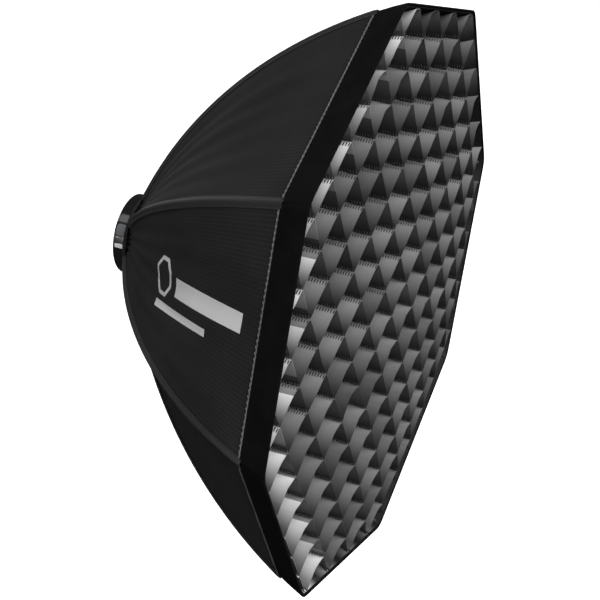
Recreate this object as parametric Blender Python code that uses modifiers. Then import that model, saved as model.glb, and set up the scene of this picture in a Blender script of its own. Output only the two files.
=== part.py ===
"""Octagonal softbox: a rotating speedring, eight bowed rods, eight cloth panels and a deep rim.

Every part is drawn in one working frame: X across, Y up, and Z the depth from the ring's rear
face towards the front. The empty head_axis turns that frame so that the box faces world -Y and
stands upright, with the world origin in the middle of the ring's rear face.
"""
from math import acos, asin, cos, hypot, pi, radians, sin, sqrt, tan

import bmesh
import bpy
from mathutils import Matrix

# Driving dimensions, in metres and radians.
ACROSS_FLATS = 0.900            # front of the box, flat to flat
DEPTH = 0.462                   # ring's rear face to the front edge of the rim
SIDES = 8
GAP = 0.0003                    # between pieces that touch
BOW_RADIUS = 0.863              # bend of the seam over each rod
FRONT_SLOPE = radians(23.1)     # seam against the axis where it meets the front edge

RING_RADIUS = 0.067             # outside of the carrier ring
RING_LENGTH = 0.038
BORE_RADIUS = 0.048             # rubber liner, for a lamp head of about 100 mm
HEM_RADIUS = 0.0697             # rear edge of the cloth, over the rods
SKIN = 0.0008                   # cloth
PANEL_SAG = 0.008               # how far a panel pulls in between its rods
ROUND_LENGTH = 0.080            # the cloth turns from round to eight-sided over this length

SLEEVE_WIDTH = 0.0175
SLEEVE_THICKNESS = 0.0012
ROD_RADIUS = 0.0022
ROD_INSET = 0.0070              # rod's centre under the seam
RIM_DEPTH = 0.0464
RIM_THICKNESS = 0.0025

LINING_THICKNESS = 0.0012       # sewn edge frames of the diffuser and the grid
CELL_WIDTH = 0.0982
CELL_HEIGHT = 0.0946
LATTICE_SHIFT = (0.0224, -0.0226)   # of the middle cell from the axis
GRID_WALL = 0.0012
GRID_DEPTH = 0.042
DIFFUSER_DEPTH = 0.4060
BAFFLE_DEPTH = 0.235
BAFFLE_RADIUS = 0.262

# Worked out from the driving dimensions.
HALF_SIDE = pi / SIDES
FRONT_RADIUS = ACROSS_FLATS / 2 / cos(HALF_SIDE)
CENTRE_DEPTH = DEPTH + BOW_RADIUS * sin(FRONT_SLOPE)
CENTRE_RADIUS = FRONT_RADIUS - BOW_RADIUS * cos(FRONT_SLOPE)
HEM_SLOPE = acos((HEM_RADIUS - CENTRE_RADIUS) / BOW_RADIUS)


def seam(slope, inset=0.0):
    """Depth and radius of the seam where it slopes so against the axis, or of a line inside it."""
    reach = BOW_RADIUS - inset
    return CENTRE_DEPTH - reach * sin(slope), CENTRE_RADIUS + reach * cos(slope)


def slope_at_depth(depth, inset=0.0):
    """The seam's slope at a depth."""
    return asin((CENTRE_DEPTH - depth) / (BOW_RADIUS - inset))


def slope_at_radius(radius, inset=0.0):
    """The seam's slope at a radius."""
    return acos((radius - CENTRE_RADIUS) / (BOW_RADIUS - inset))


def corner_angle(index):
    """Direction of rod number index, anticlockwise as seen from the front."""
    return HALF_SIDE * (2 * index + 1)


for leftover in list(bpy.data.objects):
    bpy.data.objects.remove(leftover, do_unlink=True)

parts = bpy.data.collections.new("octabox")
cutters = bpy.data.collections.new("octabox_cutters")
for group in (parts, cutters):
    bpy.context.scene.collection.children.link(group)


def axis_empty(name, parent=None, depth=0.0):
    """An empty on the object's axis; the first one turns the working frame upright."""
    empty = bpy.data.objects.new(name, None)
    empty.parent = parent
    empty.location = (0.0, 0.0, depth)
    if parent is None:
        empty.rotation_euler = (pi / 2, 0.0, 0.0)
    parts.objects.link(empty)
    return empty


head_axis = axis_empty("head_axis")
swivel_axis = axis_empty("swivel_axis", head_axis)
baffle_axis = axis_empty("baffle_axis", swivel_axis, BAFFLE_DEPTH)
diffuser_axis = axis_empty("diffuser_axis", baffle_axis, DIFFUSER_DEPTH - BAFFLE_DEPTH)
grid_axis = axis_empty("grid_axis", diffuser_axis, DEPTH - DIFFUSER_DEPTH)
GRID_ORIGIN = DEPTH


def finish(name, colour, roughness, metallic=0.0):
    """A plain material for one sub-part."""
    material = bpy.data.materials.new(name)
    material.use_nodes = True
    shader = material.node_tree.nodes["Principled BSDF"]
    shader.inputs["Base Color"].default_value = (*colour, 1.0)
    shader.inputs["Roughness"].default_value = roughness
    shader.inputs["Metallic"].default_value = metallic
    return material


GLOSS_BLACK = finish("gloss_black_plastic", (0.012, 0.012, 0.013), 0.18)
MATTE_GREY = finish("grey_pad_plastic", (0.115, 0.115, 0.115), 0.55)
ALUMINIUM = finish("turned_aluminium", (0.55, 0.55, 0.56), 0.32, 1.0)
STEEL = finish("zinc_steel", (0.42, 0.42, 0.43), 0.35, 1.0)
RUBBER = finish("black_rubber", (0.020, 0.020, 0.020), 0.80)
FIBREGLASS = finish("white_fibreglass", (0.70, 0.70, 0.66), 0.45)
TIP_PLASTIC = finish("tip_plastic", (0.020, 0.020, 0.021), 0.40)
SHELL_CLOTH = finish("black_ripstop", (0.022, 0.022, 0.022), 0.75)
WEBBING = finish("black_webbing", (0.016, 0.016, 0.016), 0.85)
RIM_CLOTH = finish("black_loop_cloth", (0.008, 0.008, 0.008), 0.95)
ELASTIC = finish("black_elastic", (0.014, 0.014, 0.014), 0.85)
DIFFUSER_CLOTH = finish("white_diffuser_cloth", (0.86, 0.86, 0.85), 0.90)
GRID_CLOTH = finish("black_grid_nylon", (0.020, 0.020, 0.021), 0.40)


def place(obj, material, parent):
    """Put a new object in the parts collection, under its empty, with its material."""
    for owner in obj.users_collection:
        owner.objects.unlink(obj)
    parts.objects.link(obj)
    obj.parent = parent
    obj.data.materials.clear()
    obj.data.materials.append(material)
    return obj


def cutter(obj, parent):
    """Keep an object as a cutter, out of the model."""
    for owner in obj.users_collection:
        owner.objects.unlink(obj)
    cutters.objects.link(obj)
    obj.parent = parent
    obj.hide_render = True
    obj.display_type = 'WIRE'
    return obj


def cut(obj, tool, operation='DIFFERENCE'):
    """Boolean modifier on a mesh."""
    modifier = obj.modifiers.new(operation.lower(), 'BOOLEAN')
    modifier.operation = operation
    modifier.object = tool
    modifier.solver = 'EXACT'


def turned(name, profile, steps=40):
    """A ring or pin: a closed profile of (radius, depth) points turned round the axis."""
    mesh = bpy.data.meshes.new(name)
    count = len(profile)
    points = [(radius, 0.0, depth) for radius, depth in profile]
    mesh.from_pydata(points, [(i, (i + 1) % count) for i in range(count)], [])
    obj = bpy.data.objects.new(name, mesh)
    modifier = obj.modifiers.new("turn", 'SCREW')
    modifier.steps = steps
    modifier.render_steps = steps
    modifier.use_merge_vertices = True
    modifier.merge_threshold = 0.00001
    return obj


def pin(name, profile, steps):
    """A solid of revolution: an open profile from the axis, out, and back to the axis."""
    mesh = bpy.data.meshes.new(name)
    points = [(radius, 0.0, depth) for radius, depth in profile]
    mesh.from_pydata(points, [(i, i + 1) for i in range(len(profile) - 1)], [])
    obj = bpy.data.objects.new(name, mesh)
    modifier = obj.modifiers.new("turn", 'SCREW')
    modifier.steps = steps
    modifier.render_steps = steps
    modifier.use_merge_vertices = True
    modifier.merge_threshold = 0.00001
    return obj


def octagon(apothem, corner_cut=0.0):
    """Corners of a regular octagon, or of one whose corners are cut back by corner_cut."""
    reach = apothem / cos(HALF_SIDE) - corner_cut
    spread = corner_cut * tan(pi / 2 - HALF_SIDE)
    points = []
    for index in range(SIDES):
        angle = corner_angle(index)
        for side in ((-1, 1) if corner_cut else (0,)):
            across = side * spread
            points.append((reach * cos(angle) - across * sin(angle),
                           reach * sin(angle) + across * cos(angle)))
    return points


def octagon_frame(name, profile, corner_cut=0.0):
    """An eight-sided frame: a closed profile of (apothem, depth) points carried round."""
    mesh = bpy.data.meshes.new(name)
    shape = bmesh.new()
    loops = []
    for apothem, depth in profile:
        loops.append([shape.verts.new((x, y, depth)) for x, y in octagon(apothem, corner_cut)])
    count = len(loops[0])
    for row, loop in enumerate(loops):
        following = loops[(row + 1) % len(loops)]
        for k in range(count):
            after = (k + 1) % count
            shape.faces.new((loop[k], following[k], following[after], loop[after]))
    bmesh.ops.recalc_face_normals(shape, faces=shape.faces)
    shape.to_mesh(mesh)
    shape.free()
    return bpy.data.objects.new(name, mesh)


def flat_outline(name, outlines, thickness):
    """A flat piece: 2D outlines, holes included, filled and extruded either way."""
    curve = bpy.data.curves.new(name, 'CURVE')
    curve.dimensions = '2D'
    curve.fill_mode = 'BOTH'
    curve.extrude = thickness / 2
    for outline in outlines:
        spline = curve.splines.new('POLY')
        spline.points.add(len(outline) - 1)
        spline.use_cyclic_u = True
        for point, (x, y) in zip(spline.points, outline):
            point.co = (x, y, 0.0, 1.0)
    return bpy.data.objects.new(name, curve)


def as_mesh(obj):
    """The mesh of a curve object, welded, in an object of the same name and place."""
    bpy.context.scene.collection.objects.link(obj)
    name = obj.name
    depsgraph = bpy.context.evaluated_depsgraph_get()
    mesh = bpy.data.meshes.new_from_object(obj.evaluated_get(depsgraph))
    shape = bmesh.new()
    shape.from_mesh(mesh)
    bmesh.ops.remove_doubles(shape, verts=shape.verts, dist=0.00001)
    bmesh.ops.dissolve_limit(shape, angle_limit=radians(0.5), verts=shape.verts,
                             edges=shape.edges)
    bmesh.ops.triangulate(shape, faces=shape.faces)
    bmesh.ops.recalc_face_normals(shape, faces=shape.faces)
    shape.to_mesh(mesh)
    shape.free()
    matrix = obj.matrix_world.copy()
    bpy.data.objects.remove(obj, do_unlink=True)
    result = bpy.data.objects.new(name, mesh)
    result.matrix_world = matrix
    return result


# Insert ring: slides on the lamp head. Its flange stands behind the carrier ring.
FLANGE_RADIUS = 0.060
FLANGE_THICKNESS = 0.004
BARREL_RADIUS = 0.055
INSERT_BORE = BORE_RADIUS + 0.0025
BARREL_END = 0.034

insert_ring = turned("insert_ring", [
    (FLANGE_RADIUS, FLANGE_THICKNESS), (FLANGE_RADIUS, 0.0), (INSERT_BORE, 0.0),
    (INSERT_BORE, BARREL_END), (BARREL_RADIUS, BARREL_END), (BARREL_RADIUS, FLANGE_THICKNESS)])
place(insert_ring, ALUMINIUM, head_axis)

liner_outer = INSERT_BORE - GAP
LINER_START = 0.002
LINER_END = 0.032
LINER_CHAMFER = 0.001
grip_liner = turned("grip_liner", [
    (liner_outer, LINER_END), (liner_outer, LINER_START),
    (BORE_RADIUS + LINER_CHAMFER, LINER_START), (BORE_RADIUS, LINER_START + LINER_CHAMFER),
    (BORE_RADIUS, LINER_END - LINER_CHAMFER), (BORE_RADIUS + LINER_CHAMFER, LINER_END)])
place(grip_liner, RUBBER, head_axis)

# Retaining ring and its four screws: they close the insert's barrel in front of the carrier.
RETAINER_RADIUS = 0.059
RETAINER_THICKNESS = 0.003
retainer_back = BARREL_END + GAP
retainer_front = retainer_back + RETAINER_THICKNESS
retaining_ring = turned("retaining_ring", [
    (RETAINER_RADIUS, retainer_front), (RETAINER_RADIUS, retainer_back),
    (INSERT_BORE, retainer_back), (INSERT_BORE, retainer_front)])
place(retaining_ring, ALUMINIUM, head_axis)

SCREW_COUNT = 4
SCREW_RADIUS = 0.0012
SCREW_HEAD_RADIUS = 0.0020
SCREW_HEAD_HEIGHT = 0.0016
SCREW_LENGTH = 0.010
SCREW_HOLE_RADIUS = SCREW_RADIUS + GAP
screw_circle = (INSERT_BORE + BARREL_RADIUS) / 2
head_back = retainer_front + GAP
screw_tip = head_back - SCREW_LENGTH

for number in range(1, SCREW_COUNT + 1):
    angle = 2 * pi * number / SCREW_COUNT
    spot = (screw_circle * cos(angle), screw_circle * sin(angle), 0.0)
    screw = pin(f"retainer_screw_{number}", [
        (0.0, head_back + SCREW_HEAD_HEIGHT), (SCREW_HEAD_RADIUS, head_back + SCREW_HEAD_HEIGHT),
        (SCREW_HEAD_RADIUS, head_back), (SCREW_RADIUS, head_back), (SCREW_RADIUS, screw_tip),
        (0.0, screw_tip)], 12)
    screw.location = spot
    place(screw, STEEL, head_axis)
    bpy.ops.mesh.primitive_cylinder_add(vertices=12, radius=SCREW_HOLE_RADIUS,
                                        depth=2 * (SCREW_LENGTH + GAP))
    hole = cutter(bpy.context.object, head_axis)
    hole.location = (spot[0], spot[1], head_back)
    cut(insert_ring, hole)
    cut(retaining_ring, hole)

# Carrier ring: turns on the insert's barrel and carries the rods. A step in its bore clears the
# insert's flange, and another one takes the retaining ring.
RING_EDGE = 0.0006
STEP_CLEARANCE = 0.0004
flange_bore = FLANGE_RADIUS + STEP_CLEARANCE
barrel_bore = BARREL_RADIUS + GAP
retainer_bore = RETAINER_RADIUS + STEP_CLEARANCE
step_back = FLANGE_THICKNESS + GAP
carrier_ring = turned("carrier_ring", [
    (RING_RADIUS, RING_LENGTH - RING_EDGE), (RING_RADIUS, RING_EDGE),
    (RING_RADIUS - RING_EDGE, 0.0), (flange_bore, 0.0), (flange_bore, step_back),
    (barrel_bore, step_back), (barrel_bore, BARREL_END), (retainer_bore, BARREL_END),
    (retainer_bore, RING_LENGTH), (RING_RADIUS - RING_EDGE, RING_LENGTH)], 56)
place(carrier_ring, GLOSS_BLACK, swivel_axis)

# Rod sockets: blind ferrules pressed into the carrier ring, one for each rod.
SOCKET_RADIUS = 0.0042
SOCKET_LENGTH = 0.029
SOCKET_MIDDLE = 0.0725          # radius of the ferrule's middle
SOCKET_BORE = ROD_RADIUS + GAP
SOCKET_FLOOR = 0.003
socket_slope = slope_at_radius(SOCKET_MIDDLE, ROD_INSET)
foot_depth = seam(socket_slope, ROD_INSET)[0] - SOCKET_LENGTH / 2 * cos(socket_slope)
foot_radius = SOCKET_MIDDLE - SOCKET_LENGTH / 2 * sin(socket_slope)


def along_rod(angle, depth, radius, slope):
    """Placement whose Z runs outwards along a rod, from a point on the rod."""
    turn = Matrix.Rotation(angle, 4, 'Z')
    return turn @ Matrix.Translation((radius, 0.0, depth)) @ Matrix.Rotation(slope, 4, 'Y')


for number in range(1, SIDES + 1):
    angle = corner_angle(number - 1)
    socket = pin(f"rod_socket_{number}", [
        (0.0, SOCKET_FLOOR), (SOCKET_BORE, SOCKET_FLOOR), (SOCKET_BORE, SOCKET_LENGTH),
        (SOCKET_RADIUS, SOCKET_LENGTH), (SOCKET_RADIUS, 0.0), (0.0, 0.0)], 12)
    socket.matrix_local = along_rod(angle, foot_depth, foot_radius, socket_slope)
    place(socket, STEEL, swivel_axis)
    bpy.ops.mesh.primitive_cylinder_add(vertices=16, radius=SOCKET_RADIUS + GAP,
                                        depth=SOCKET_LENGTH)
    seat = cutter(bpy.context.object, swivel_axis)
    middle = SOCKET_LENGTH / 2 - GAP
    seat.matrix_local = (along_rod(angle, foot_depth, foot_radius, socket_slope)
                         @ Matrix.Translation((0.0, 0.0, middle)))
    cut(carrier_ring, seat)

# Lock button: a pad let into the side of the carrier ring, pressed inwards to free the swivel.
BUTTON_ANGLE = radians(167)
BUTTON_WIDTH = 0.020
BUTTON_LENGTH = 0.0166
BUTTON_THICKNESS = 0.0030
BUTTON_DEPTH = 0.0110           # middle of the pad along the axis
BUTTON_TOP = RING_RADIUS + 0.0006
POCKET_FLOOR = 0.0622

bpy.ops.mesh.primitive_cube_add(size=1.0)
lock_button = bpy.context.object
lock_button.name = "lock_button"
button_middle = BUTTON_TOP - BUTTON_THICKNESS / 2
facing = Matrix.Rotation(BUTTON_ANGLE, 4, 'Z')
lock_button.data.transform(Matrix.Diagonal((BUTTON_THICKNESS, BUTTON_WIDTH, BUTTON_LENGTH, 1)))
place(lock_button, MATTE_GREY, swivel_axis)
lock_button.matrix_local = facing @ Matrix.Translation((button_middle, 0.0, BUTTON_DEPTH))
bpy.ops.mesh.primitive_cylinder_add(vertices=128, radius=BUTTON_TOP, depth=RING_LENGTH)
crown = cutter(bpy.context.object, swivel_axis)
crown.location = (0.0, 0.0, RING_LENGTH / 2)
cut(lock_button, crown, 'INTERSECT')

bpy.ops.mesh.primitive_cube_add(size=1.0)
pocket = cutter(bpy.context.object, swivel_axis)
POCKET_HEIGHT = 0.010
pocket.data.transform(Matrix.Diagonal((POCKET_HEIGHT, BUTTON_WIDTH + 2 * GAP,
                                       BUTTON_LENGTH + 2 * GAP, 1)))
pocket.matrix_local = facing @ Matrix.Translation(
    (POCKET_FLOOR + POCKET_HEIGHT / 2, 0.0, BUTTON_DEPTH))
cut(carrier_ring, pocket)

# Rods: round fibreglass bows that run from the bottom of a socket to the front corner.
ROD_END_DEPTH = 0.4520
ROD_STEPS = 18
TIP_RADIUS = 0.0028
TIP_LENGTH = 0.012
TIP_FLOOR = 0.002
FLOOR_CLEARANCE = 0.001
grip_length = SOCKET_LENGTH / 2 - SOCKET_FLOOR - FLOOR_CLEARANCE
rod_start = socket_slope + grip_length / (BOW_RADIUS - ROD_INSET)
rod_end = slope_at_depth(ROD_END_DEPTH, ROD_INSET)
tip_start = rod_end + (TIP_LENGTH - TIP_FLOOR - GAP) / BOW_RADIUS
tip_depth, tip_reach = seam((rod_end + tip_start) / 2, ROD_INSET)
tip_slope = (rod_end + tip_start) / 2

for number in range(1, SIDES + 1):
    angle = corner_angle(number - 1)
    line = bpy.data.curves.new(f"rod_{number}", 'CURVE')
    line.dimensions = '3D'
    line.bevel_depth = ROD_RADIUS
    line.bevel_resolution = 2
    line.use_fill_caps = True
    spline = line.splines.new('POLY')
    spline.points.add(ROD_STEPS)
    for step, point in enumerate(spline.points):
        slope = rod_start + (rod_end - rod_start) * step / ROD_STEPS
        depth, radius = seam(slope, ROD_INSET)
        point.co = (radius * cos(angle), radius * sin(angle), depth, 1.0)
    place(bpy.data.objects.new(f"rod_{number}", line), FIBREGLASS, swivel_axis)

    tip = pin(f"rod_tip_{number}", [
        (0.0, TIP_LENGTH), (TIP_RADIUS * 0.7, TIP_LENGTH), (TIP_RADIUS, TIP_LENGTH * 0.93),
        (TIP_RADIUS, 0.0), (ROD_RADIUS + GAP, 0.0),
        (ROD_RADIUS + GAP, TIP_LENGTH - TIP_FLOOR), (0.0, TIP_LENGTH - TIP_FLOOR)], 12)
    tip.matrix_local = (along_rod(angle, tip_depth, tip_reach, tip_slope)
                        @ Matrix.Translation((0.0, 0.0, -(TIP_LENGTH - TIP_FLOOR - GAP) / 2)))
    place(tip, TIP_PLASTIC, swivel_axis)


# Shell: eight cloth panels between the rods, and a sewn sleeve over each rod.
rim_back = DEPTH - RIM_DEPTH
RIM_SLOPE = slope_at_depth(rim_back)


def shell_point(slope, across, side):
    """A point on the cloth of a side; across runs from -1 at one seam to 1 at the next."""
    depth, radius = seam(slope)
    from_rim = (slope - RIM_SLOPE) / (HEM_SLOPE - RIM_SLOPE)
    sag = PANEL_SAG * (1 - (1 - from_rim) ** 4) * (1 - across ** 2)
    depth += sag * sin(slope)
    sideways = radius * sin(HALF_SIDE) * across
    outwards = radius * cos(HALF_SIDE) - sag * cos(slope)
    from_hem = BOW_RADIUS * (HEM_SLOPE - slope)
    roundness = max(0.0, 1 - from_hem / ROUND_LENGTH) ** 2
    swell = 1 + roundness * (radius / hypot(sideways, outwards) - 1)
    angle = 2 * HALF_SIDE * side
    x = swell * (outwards * cos(angle) - sideways * sin(angle))
    y = swell * (outwards * sin(angle) + sideways * cos(angle))
    return x, y, depth


def sleeve_share(slope, margin=0.0):
    """How far across a side the edge of its sleeve lies, 1 being the seam itself."""
    radius = seam(slope)[1]
    return 1 - (SLEEVE_WIDTH / 2 + margin) / (radius * sin(HALF_SIDE))


PANEL_ROWS = 10
PANEL_COLUMNS = 4
SLEEVE_COLUMNS = 2
# The thickness is laid inwards, so the inner edge of the cloth reaches a little further forward.
inner_lead = SLEEVE_THICKNESS * sin(FRONT_SLOPE)
panel_end = slope_at_depth(rim_back - GAP - 1.2 * inner_lead)


def cloth_grid(name, columns, point_at, thickness):
    """A sheet over the shell: a plain grid laid by point_at(slope, v), then made thick inwards."""
    mesh = bpy.data.meshes.new(name)
    shape = bmesh.new()
    bmesh.ops.create_grid(shape, x_segments=columns, y_segments=PANEL_ROWS, size=1.0)
    for vert in shape.verts:
        slope = HEM_SLOPE + (panel_end - HEM_SLOPE) * (vert.co.y + 1) / 2
        vert.co = point_at(slope, vert.co.x)
    shape.to_mesh(mesh)
    shape.free()
    obj = bpy.data.objects.new(name, mesh)
    solidify = obj.modifiers.new("thickness", 'SOLIDIFY')
    solidify.thickness = thickness
    solidify.offset = -1.0
    return obj


def sleeve_point(slope, v, corner):
    """A point on a sleeve: v runs from -1 on one side of the seam to 1 on the other."""
    edge = sleeve_share(slope)
    if v <= 0:
        return shell_point(slope, 1 + v * (1 - edge), corner)
    return shell_point(slope, -1 + v * (1 - edge), corner + 1)


for number in range(1, SIDES + 1):
    side = number - 1

    def panel_point(slope, v, side=side):
        """A point on a panel, which ends just short of the sleeves."""
        return shell_point(slope, v * sleeve_share(slope, GAP), side)

    panel = cloth_grid(f"shell_panel_{number}", PANEL_COLUMNS, panel_point, SKIN)
    place(panel, SHELL_CLOTH, swivel_axis)

    def seam_point(slope, v, side=side):
        """A point on the sleeve at the far seam of this side."""
        return sleeve_point(slope, v, side)

    sleeve = cloth_grid(f"rod_sleeve_{number}", SLEEVE_COLUMNS, seam_point, SLEEVE_THICKNESS)
    place(sleeve, WEBBING, swivel_axis)

# Hem elastic: a band round the carrier ring that holds the cloth's rear edge.
HEM_WIDTH = 0.0038
HEM_THICKNESS = 0.0013
hem_back = seam(HEM_SLOPE)[0] - GAP - HEM_WIDTH
hem_elastic = turned("hem_elastic", [
    (RING_RADIUS + GAP + HEM_THICKNESS, hem_back + HEM_WIDTH),
    (RING_RADIUS + GAP + HEM_THICKNESS, hem_back), (RING_RADIUS + GAP, hem_back),
    (RING_RADIUS + GAP, hem_back + HEM_WIDTH)])
place(hem_elastic, ELASTIC, swivel_axis)


# Rim band: a deep eight-sided edge that goes on in the slope of the shell.
def skin_apothem(depth, inside=0.0):
    """Distance from the axis to the middle of a side of the shell, or of a face inside it."""
    return seam(slope_at_depth(depth))[1] * cos(HALF_SIDE) - inside


rim_band = octagon_frame("rim_band", [
    (skin_apothem(DEPTH), DEPTH), (skin_apothem(rim_back), rim_back),
    (skin_apothem(rim_back, RIM_THICKNESS), rim_back), (skin_apothem(DEPTH, RIM_THICKNESS), DEPTH)])
place(rim_band, RIM_CLOTH, swivel_axis)

# Inner baffle: a cloth octagon half way, held by a tab at each rod.
TAB_WIDTH = 0.024
TAB_CLEARANCE = 0.0140
tab_reach = seam(slope_at_depth(BAFFLE_DEPTH))[1] - TAB_CLEARANCE
baffle_outline = []
for index in range(SIDES):
    angle = corner_angle(index)
    for across, reach in ((-TAB_WIDTH / 2, BAFFLE_RADIUS - TAB_WIDTH / 5),
                          (-TAB_WIDTH / 2, tab_reach), (TAB_WIDTH / 2, tab_reach),
                          (TAB_WIDTH / 2, BAFFLE_RADIUS - TAB_WIDTH / 5)):
        baffle_outline.append((reach * cos(angle) - across * sin(angle),
                               reach * sin(angle) + across * cos(angle)))
inner_baffle = flat_outline("inner_baffle", [baffle_outline], SKIN)
place(as_mesh(inner_baffle), DIFFUSER_CLOTH, baffle_axis)

# Front diffuser: white cloth in a sewn frame that grips the shell behind the rim. The corners
# are cut back to pass inside the rods.
FRAME_CLEARANCE = 0.0030
CORNER_CUT = 0.0080
DIFFUSER_FRAME_BACK = 0.398
DIFFUSER_FRAME_FRONT = 0.4150


def inner_frame(name, back, front, inside, origin):
    """A thin cut-cornered frame that follows the shell, at a distance inside it."""
    return octagon_frame(name, [
        (skin_apothem(front, inside), front - origin), (skin_apothem(back, inside), back - origin),
        (skin_apothem(back, inside + LINING_THICKNESS), back - origin),
        (skin_apothem(front, inside + LINING_THICKNESS), front - origin)], CORNER_CUT)


diffuser_border = inner_frame("diffuser_border", DIFFUSER_FRAME_BACK, DIFFUSER_FRAME_FRONT,
                              RIM_THICKNESS + FRAME_CLEARANCE, DIFFUSER_DEPTH)
place(diffuser_border, RIM_CLOTH, diffuser_axis)
sheet_inside = RIM_THICKNESS + FRAME_CLEARANCE + LINING_THICKNESS + 3 * GAP
sheet_outline = octagon(skin_apothem(DIFFUSER_DEPTH, sheet_inside), CORNER_CUT)
front_diffuser = flat_outline("front_diffuser", [sheet_outline], SKIN)
place(as_mesh(front_diffuser), DIFFUSER_CLOTH, diffuser_axis)

# Grid: zig-zag cloth strips sewn together at their peaks into lozenge cells, in a sewn edge.
GRID_FRONT = DEPTH - 0.0015
grid_back = GRID_FRONT - GRID_DEPTH
GRID_CLEARANCE = 0.0003
grid_border = inner_frame("grid_border", grid_back, GRID_FRONT,
                          RIM_THICKNESS + GRID_CLEARANCE * 2, GRID_ORIGIN)
place(grid_border, RIM_CLOTH, grid_axis)

EDGE_WALL = 0.0020
MIN_HOLE_AREA = 0.00012
lattice_inside = RIM_THICKNESS + GRID_CLEARANCE * 2 + LINING_THICKNESS + 3 * GAP
lattice_apothem = skin_apothem(GRID_FRONT, lattice_inside)


def clipped(outline, apothem, corner_cut):
    """The part of a convex outline that lies inside a cut-cornered octagon."""
    limits = [(cos(2 * HALF_SIDE * k), sin(2 * HALF_SIDE * k), apothem) for k in range(SIDES)]
    reach = apothem / cos(HALF_SIDE) - corner_cut
    limits += [(cos(corner_angle(k)), sin(corner_angle(k)), reach) for k in range(SIDES)]
    for normal_x, normal_y, limit in limits:
        kept = []
        for (x0, y0), (x1, y1) in zip(outline, outline[1:] + outline[:1]):
            over0 = x0 * normal_x + y0 * normal_y - limit
            over1 = x1 * normal_x + y1 * normal_y - limit
            if over0 <= 0:
                kept.append((x0, y0))
            if over0 * over1 < 0:
                share = over0 / (over0 - over1)
                kept.append((x0 + (x1 - x0) * share, y0 + (y1 - y0) * share))
        outline = kept
        if len(outline) < 3:
            return []
    return outline


def area(outline):
    """Area of a plain outline."""
    turns = zip(outline, outline[1:] + outline[:1])
    return abs(sum(x0 * y1 - x1 * y0 for (x0, y0), (x1, y1) in turns)) / 2


# Half the diagonals of a hole: a cell less its walls.
wall_share = GRID_WALL / 2 * sqrt(1 / CELL_WIDTH ** 2 + 1 / CELL_HEIGHT ** 2) * 2
hole_x = CELL_WIDTH / 2 * (1 - wall_share)
hole_y = CELL_HEIGHT / 2 * (1 - wall_share)
holes = []
reach_in_cells = int(ACROSS_FLATS / CELL_HEIGHT / 2) + 1
for row in range(-2 * reach_in_cells, 2 * reach_in_cells + 1):
    for column in range(-reach_in_cells, reach_in_cells + 1):
        middle_x = LATTICE_SHIFT[0] + (column + 0.5 * (row % 2)) * CELL_WIDTH
        middle_y = LATTICE_SHIFT[1] + row * CELL_HEIGHT / 2
        cell = [(middle_x + hole_x, middle_y), (middle_x, middle_y + hole_y),
                (middle_x - hole_x, middle_y), (middle_x, middle_y - hole_y)]
        hole = clipped(cell, lattice_apothem - EDGE_WALL, CORNER_CUT)
        if hole and area(hole) > MIN_HOLE_AREA:
            holes.append(hole)

lattice = flat_outline("grid_lattice", [octagon(lattice_apothem, CORNER_CUT)] + holes, GRID_DEPTH)
grid_lattice = as_mesh(lattice)
place(grid_lattice, GRID_CLOTH, grid_axis)
grid_lattice.location = (0.0, 0.0, GRID_FRONT - GRID_DEPTH / 2 - GRID_ORIGIN)

# The lattice narrows towards the back, so that it stays inside its edge.
ENVELOPE_MARGIN = 0.002
envelope_lean = (skin_apothem(GRID_FRONT) - skin_apothem(grid_back)) / GRID_DEPTH
envelope = bmesh.new()
ends = []
for depth, overshoot in ((grid_back, -ENVELOPE_MARGIN), (GRID_FRONT, ENVELOPE_MARGIN)):
    apothem = skin_apothem(depth, lattice_inside) + envelope_lean * overshoot
    ends.append([envelope.verts.new((x, y, depth + overshoot - GRID_ORIGIN))
                 for x, y in octagon(apothem, CORNER_CUT)])
envelope.faces.new(ends[0][::-1])
envelope.faces.new(ends[1])
for k in range(len(ends[0])):
    after = (k + 1) % len(ends[0])
    envelope.faces.new((ends[0][k], ends[0][after], ends[1][after], ends[1][k]))
envelope_mesh = bpy.data.meshes.new("grid_envelope")
envelope.to_mesh(envelope_mesh)
envelope.free()
grid_envelope = cutter(bpy.data.objects.new("grid_envelope", envelope_mesh), grid_axis)
cut(grid_lattice, grid_envelope, 'INTERSECT')

for obj in parts.objects:
    if obj.type == 'MESH' and obj.name.split("_")[0] in ("insert", "grip", "retaining", "carrier"):
        obj.data.shade_smooth()
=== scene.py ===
from math import acos, asin, cos, exp, pi, radians, sin, sqrt

import bmesh
import bpy
import numpy as np
from mathutils import Matrix, Vector


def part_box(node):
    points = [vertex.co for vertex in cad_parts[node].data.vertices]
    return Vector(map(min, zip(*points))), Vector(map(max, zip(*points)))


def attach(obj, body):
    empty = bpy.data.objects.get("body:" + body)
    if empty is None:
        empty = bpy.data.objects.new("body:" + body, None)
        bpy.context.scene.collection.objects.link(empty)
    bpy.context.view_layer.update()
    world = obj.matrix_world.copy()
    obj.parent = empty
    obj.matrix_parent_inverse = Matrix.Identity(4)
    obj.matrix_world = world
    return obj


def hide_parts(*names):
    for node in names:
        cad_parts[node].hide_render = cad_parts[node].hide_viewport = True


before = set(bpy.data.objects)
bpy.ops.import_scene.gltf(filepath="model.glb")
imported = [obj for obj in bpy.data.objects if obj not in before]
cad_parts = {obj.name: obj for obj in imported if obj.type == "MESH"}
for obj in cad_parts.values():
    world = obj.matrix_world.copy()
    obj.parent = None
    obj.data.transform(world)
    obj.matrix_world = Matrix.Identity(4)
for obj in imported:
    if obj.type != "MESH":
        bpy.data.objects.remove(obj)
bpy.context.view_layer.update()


# Camera: stands off to the front left, about 70 degrees round from the axis, a little above the
# ring, with a long lens. It is rolled, so that the box seems to lean forwards on its head.
CAMERA_PLACE = Vector((-2.170, -1.073, 0.478))
CAMERA_LOOK = Vector((0.92037, 0.32272, -0.22084))
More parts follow.
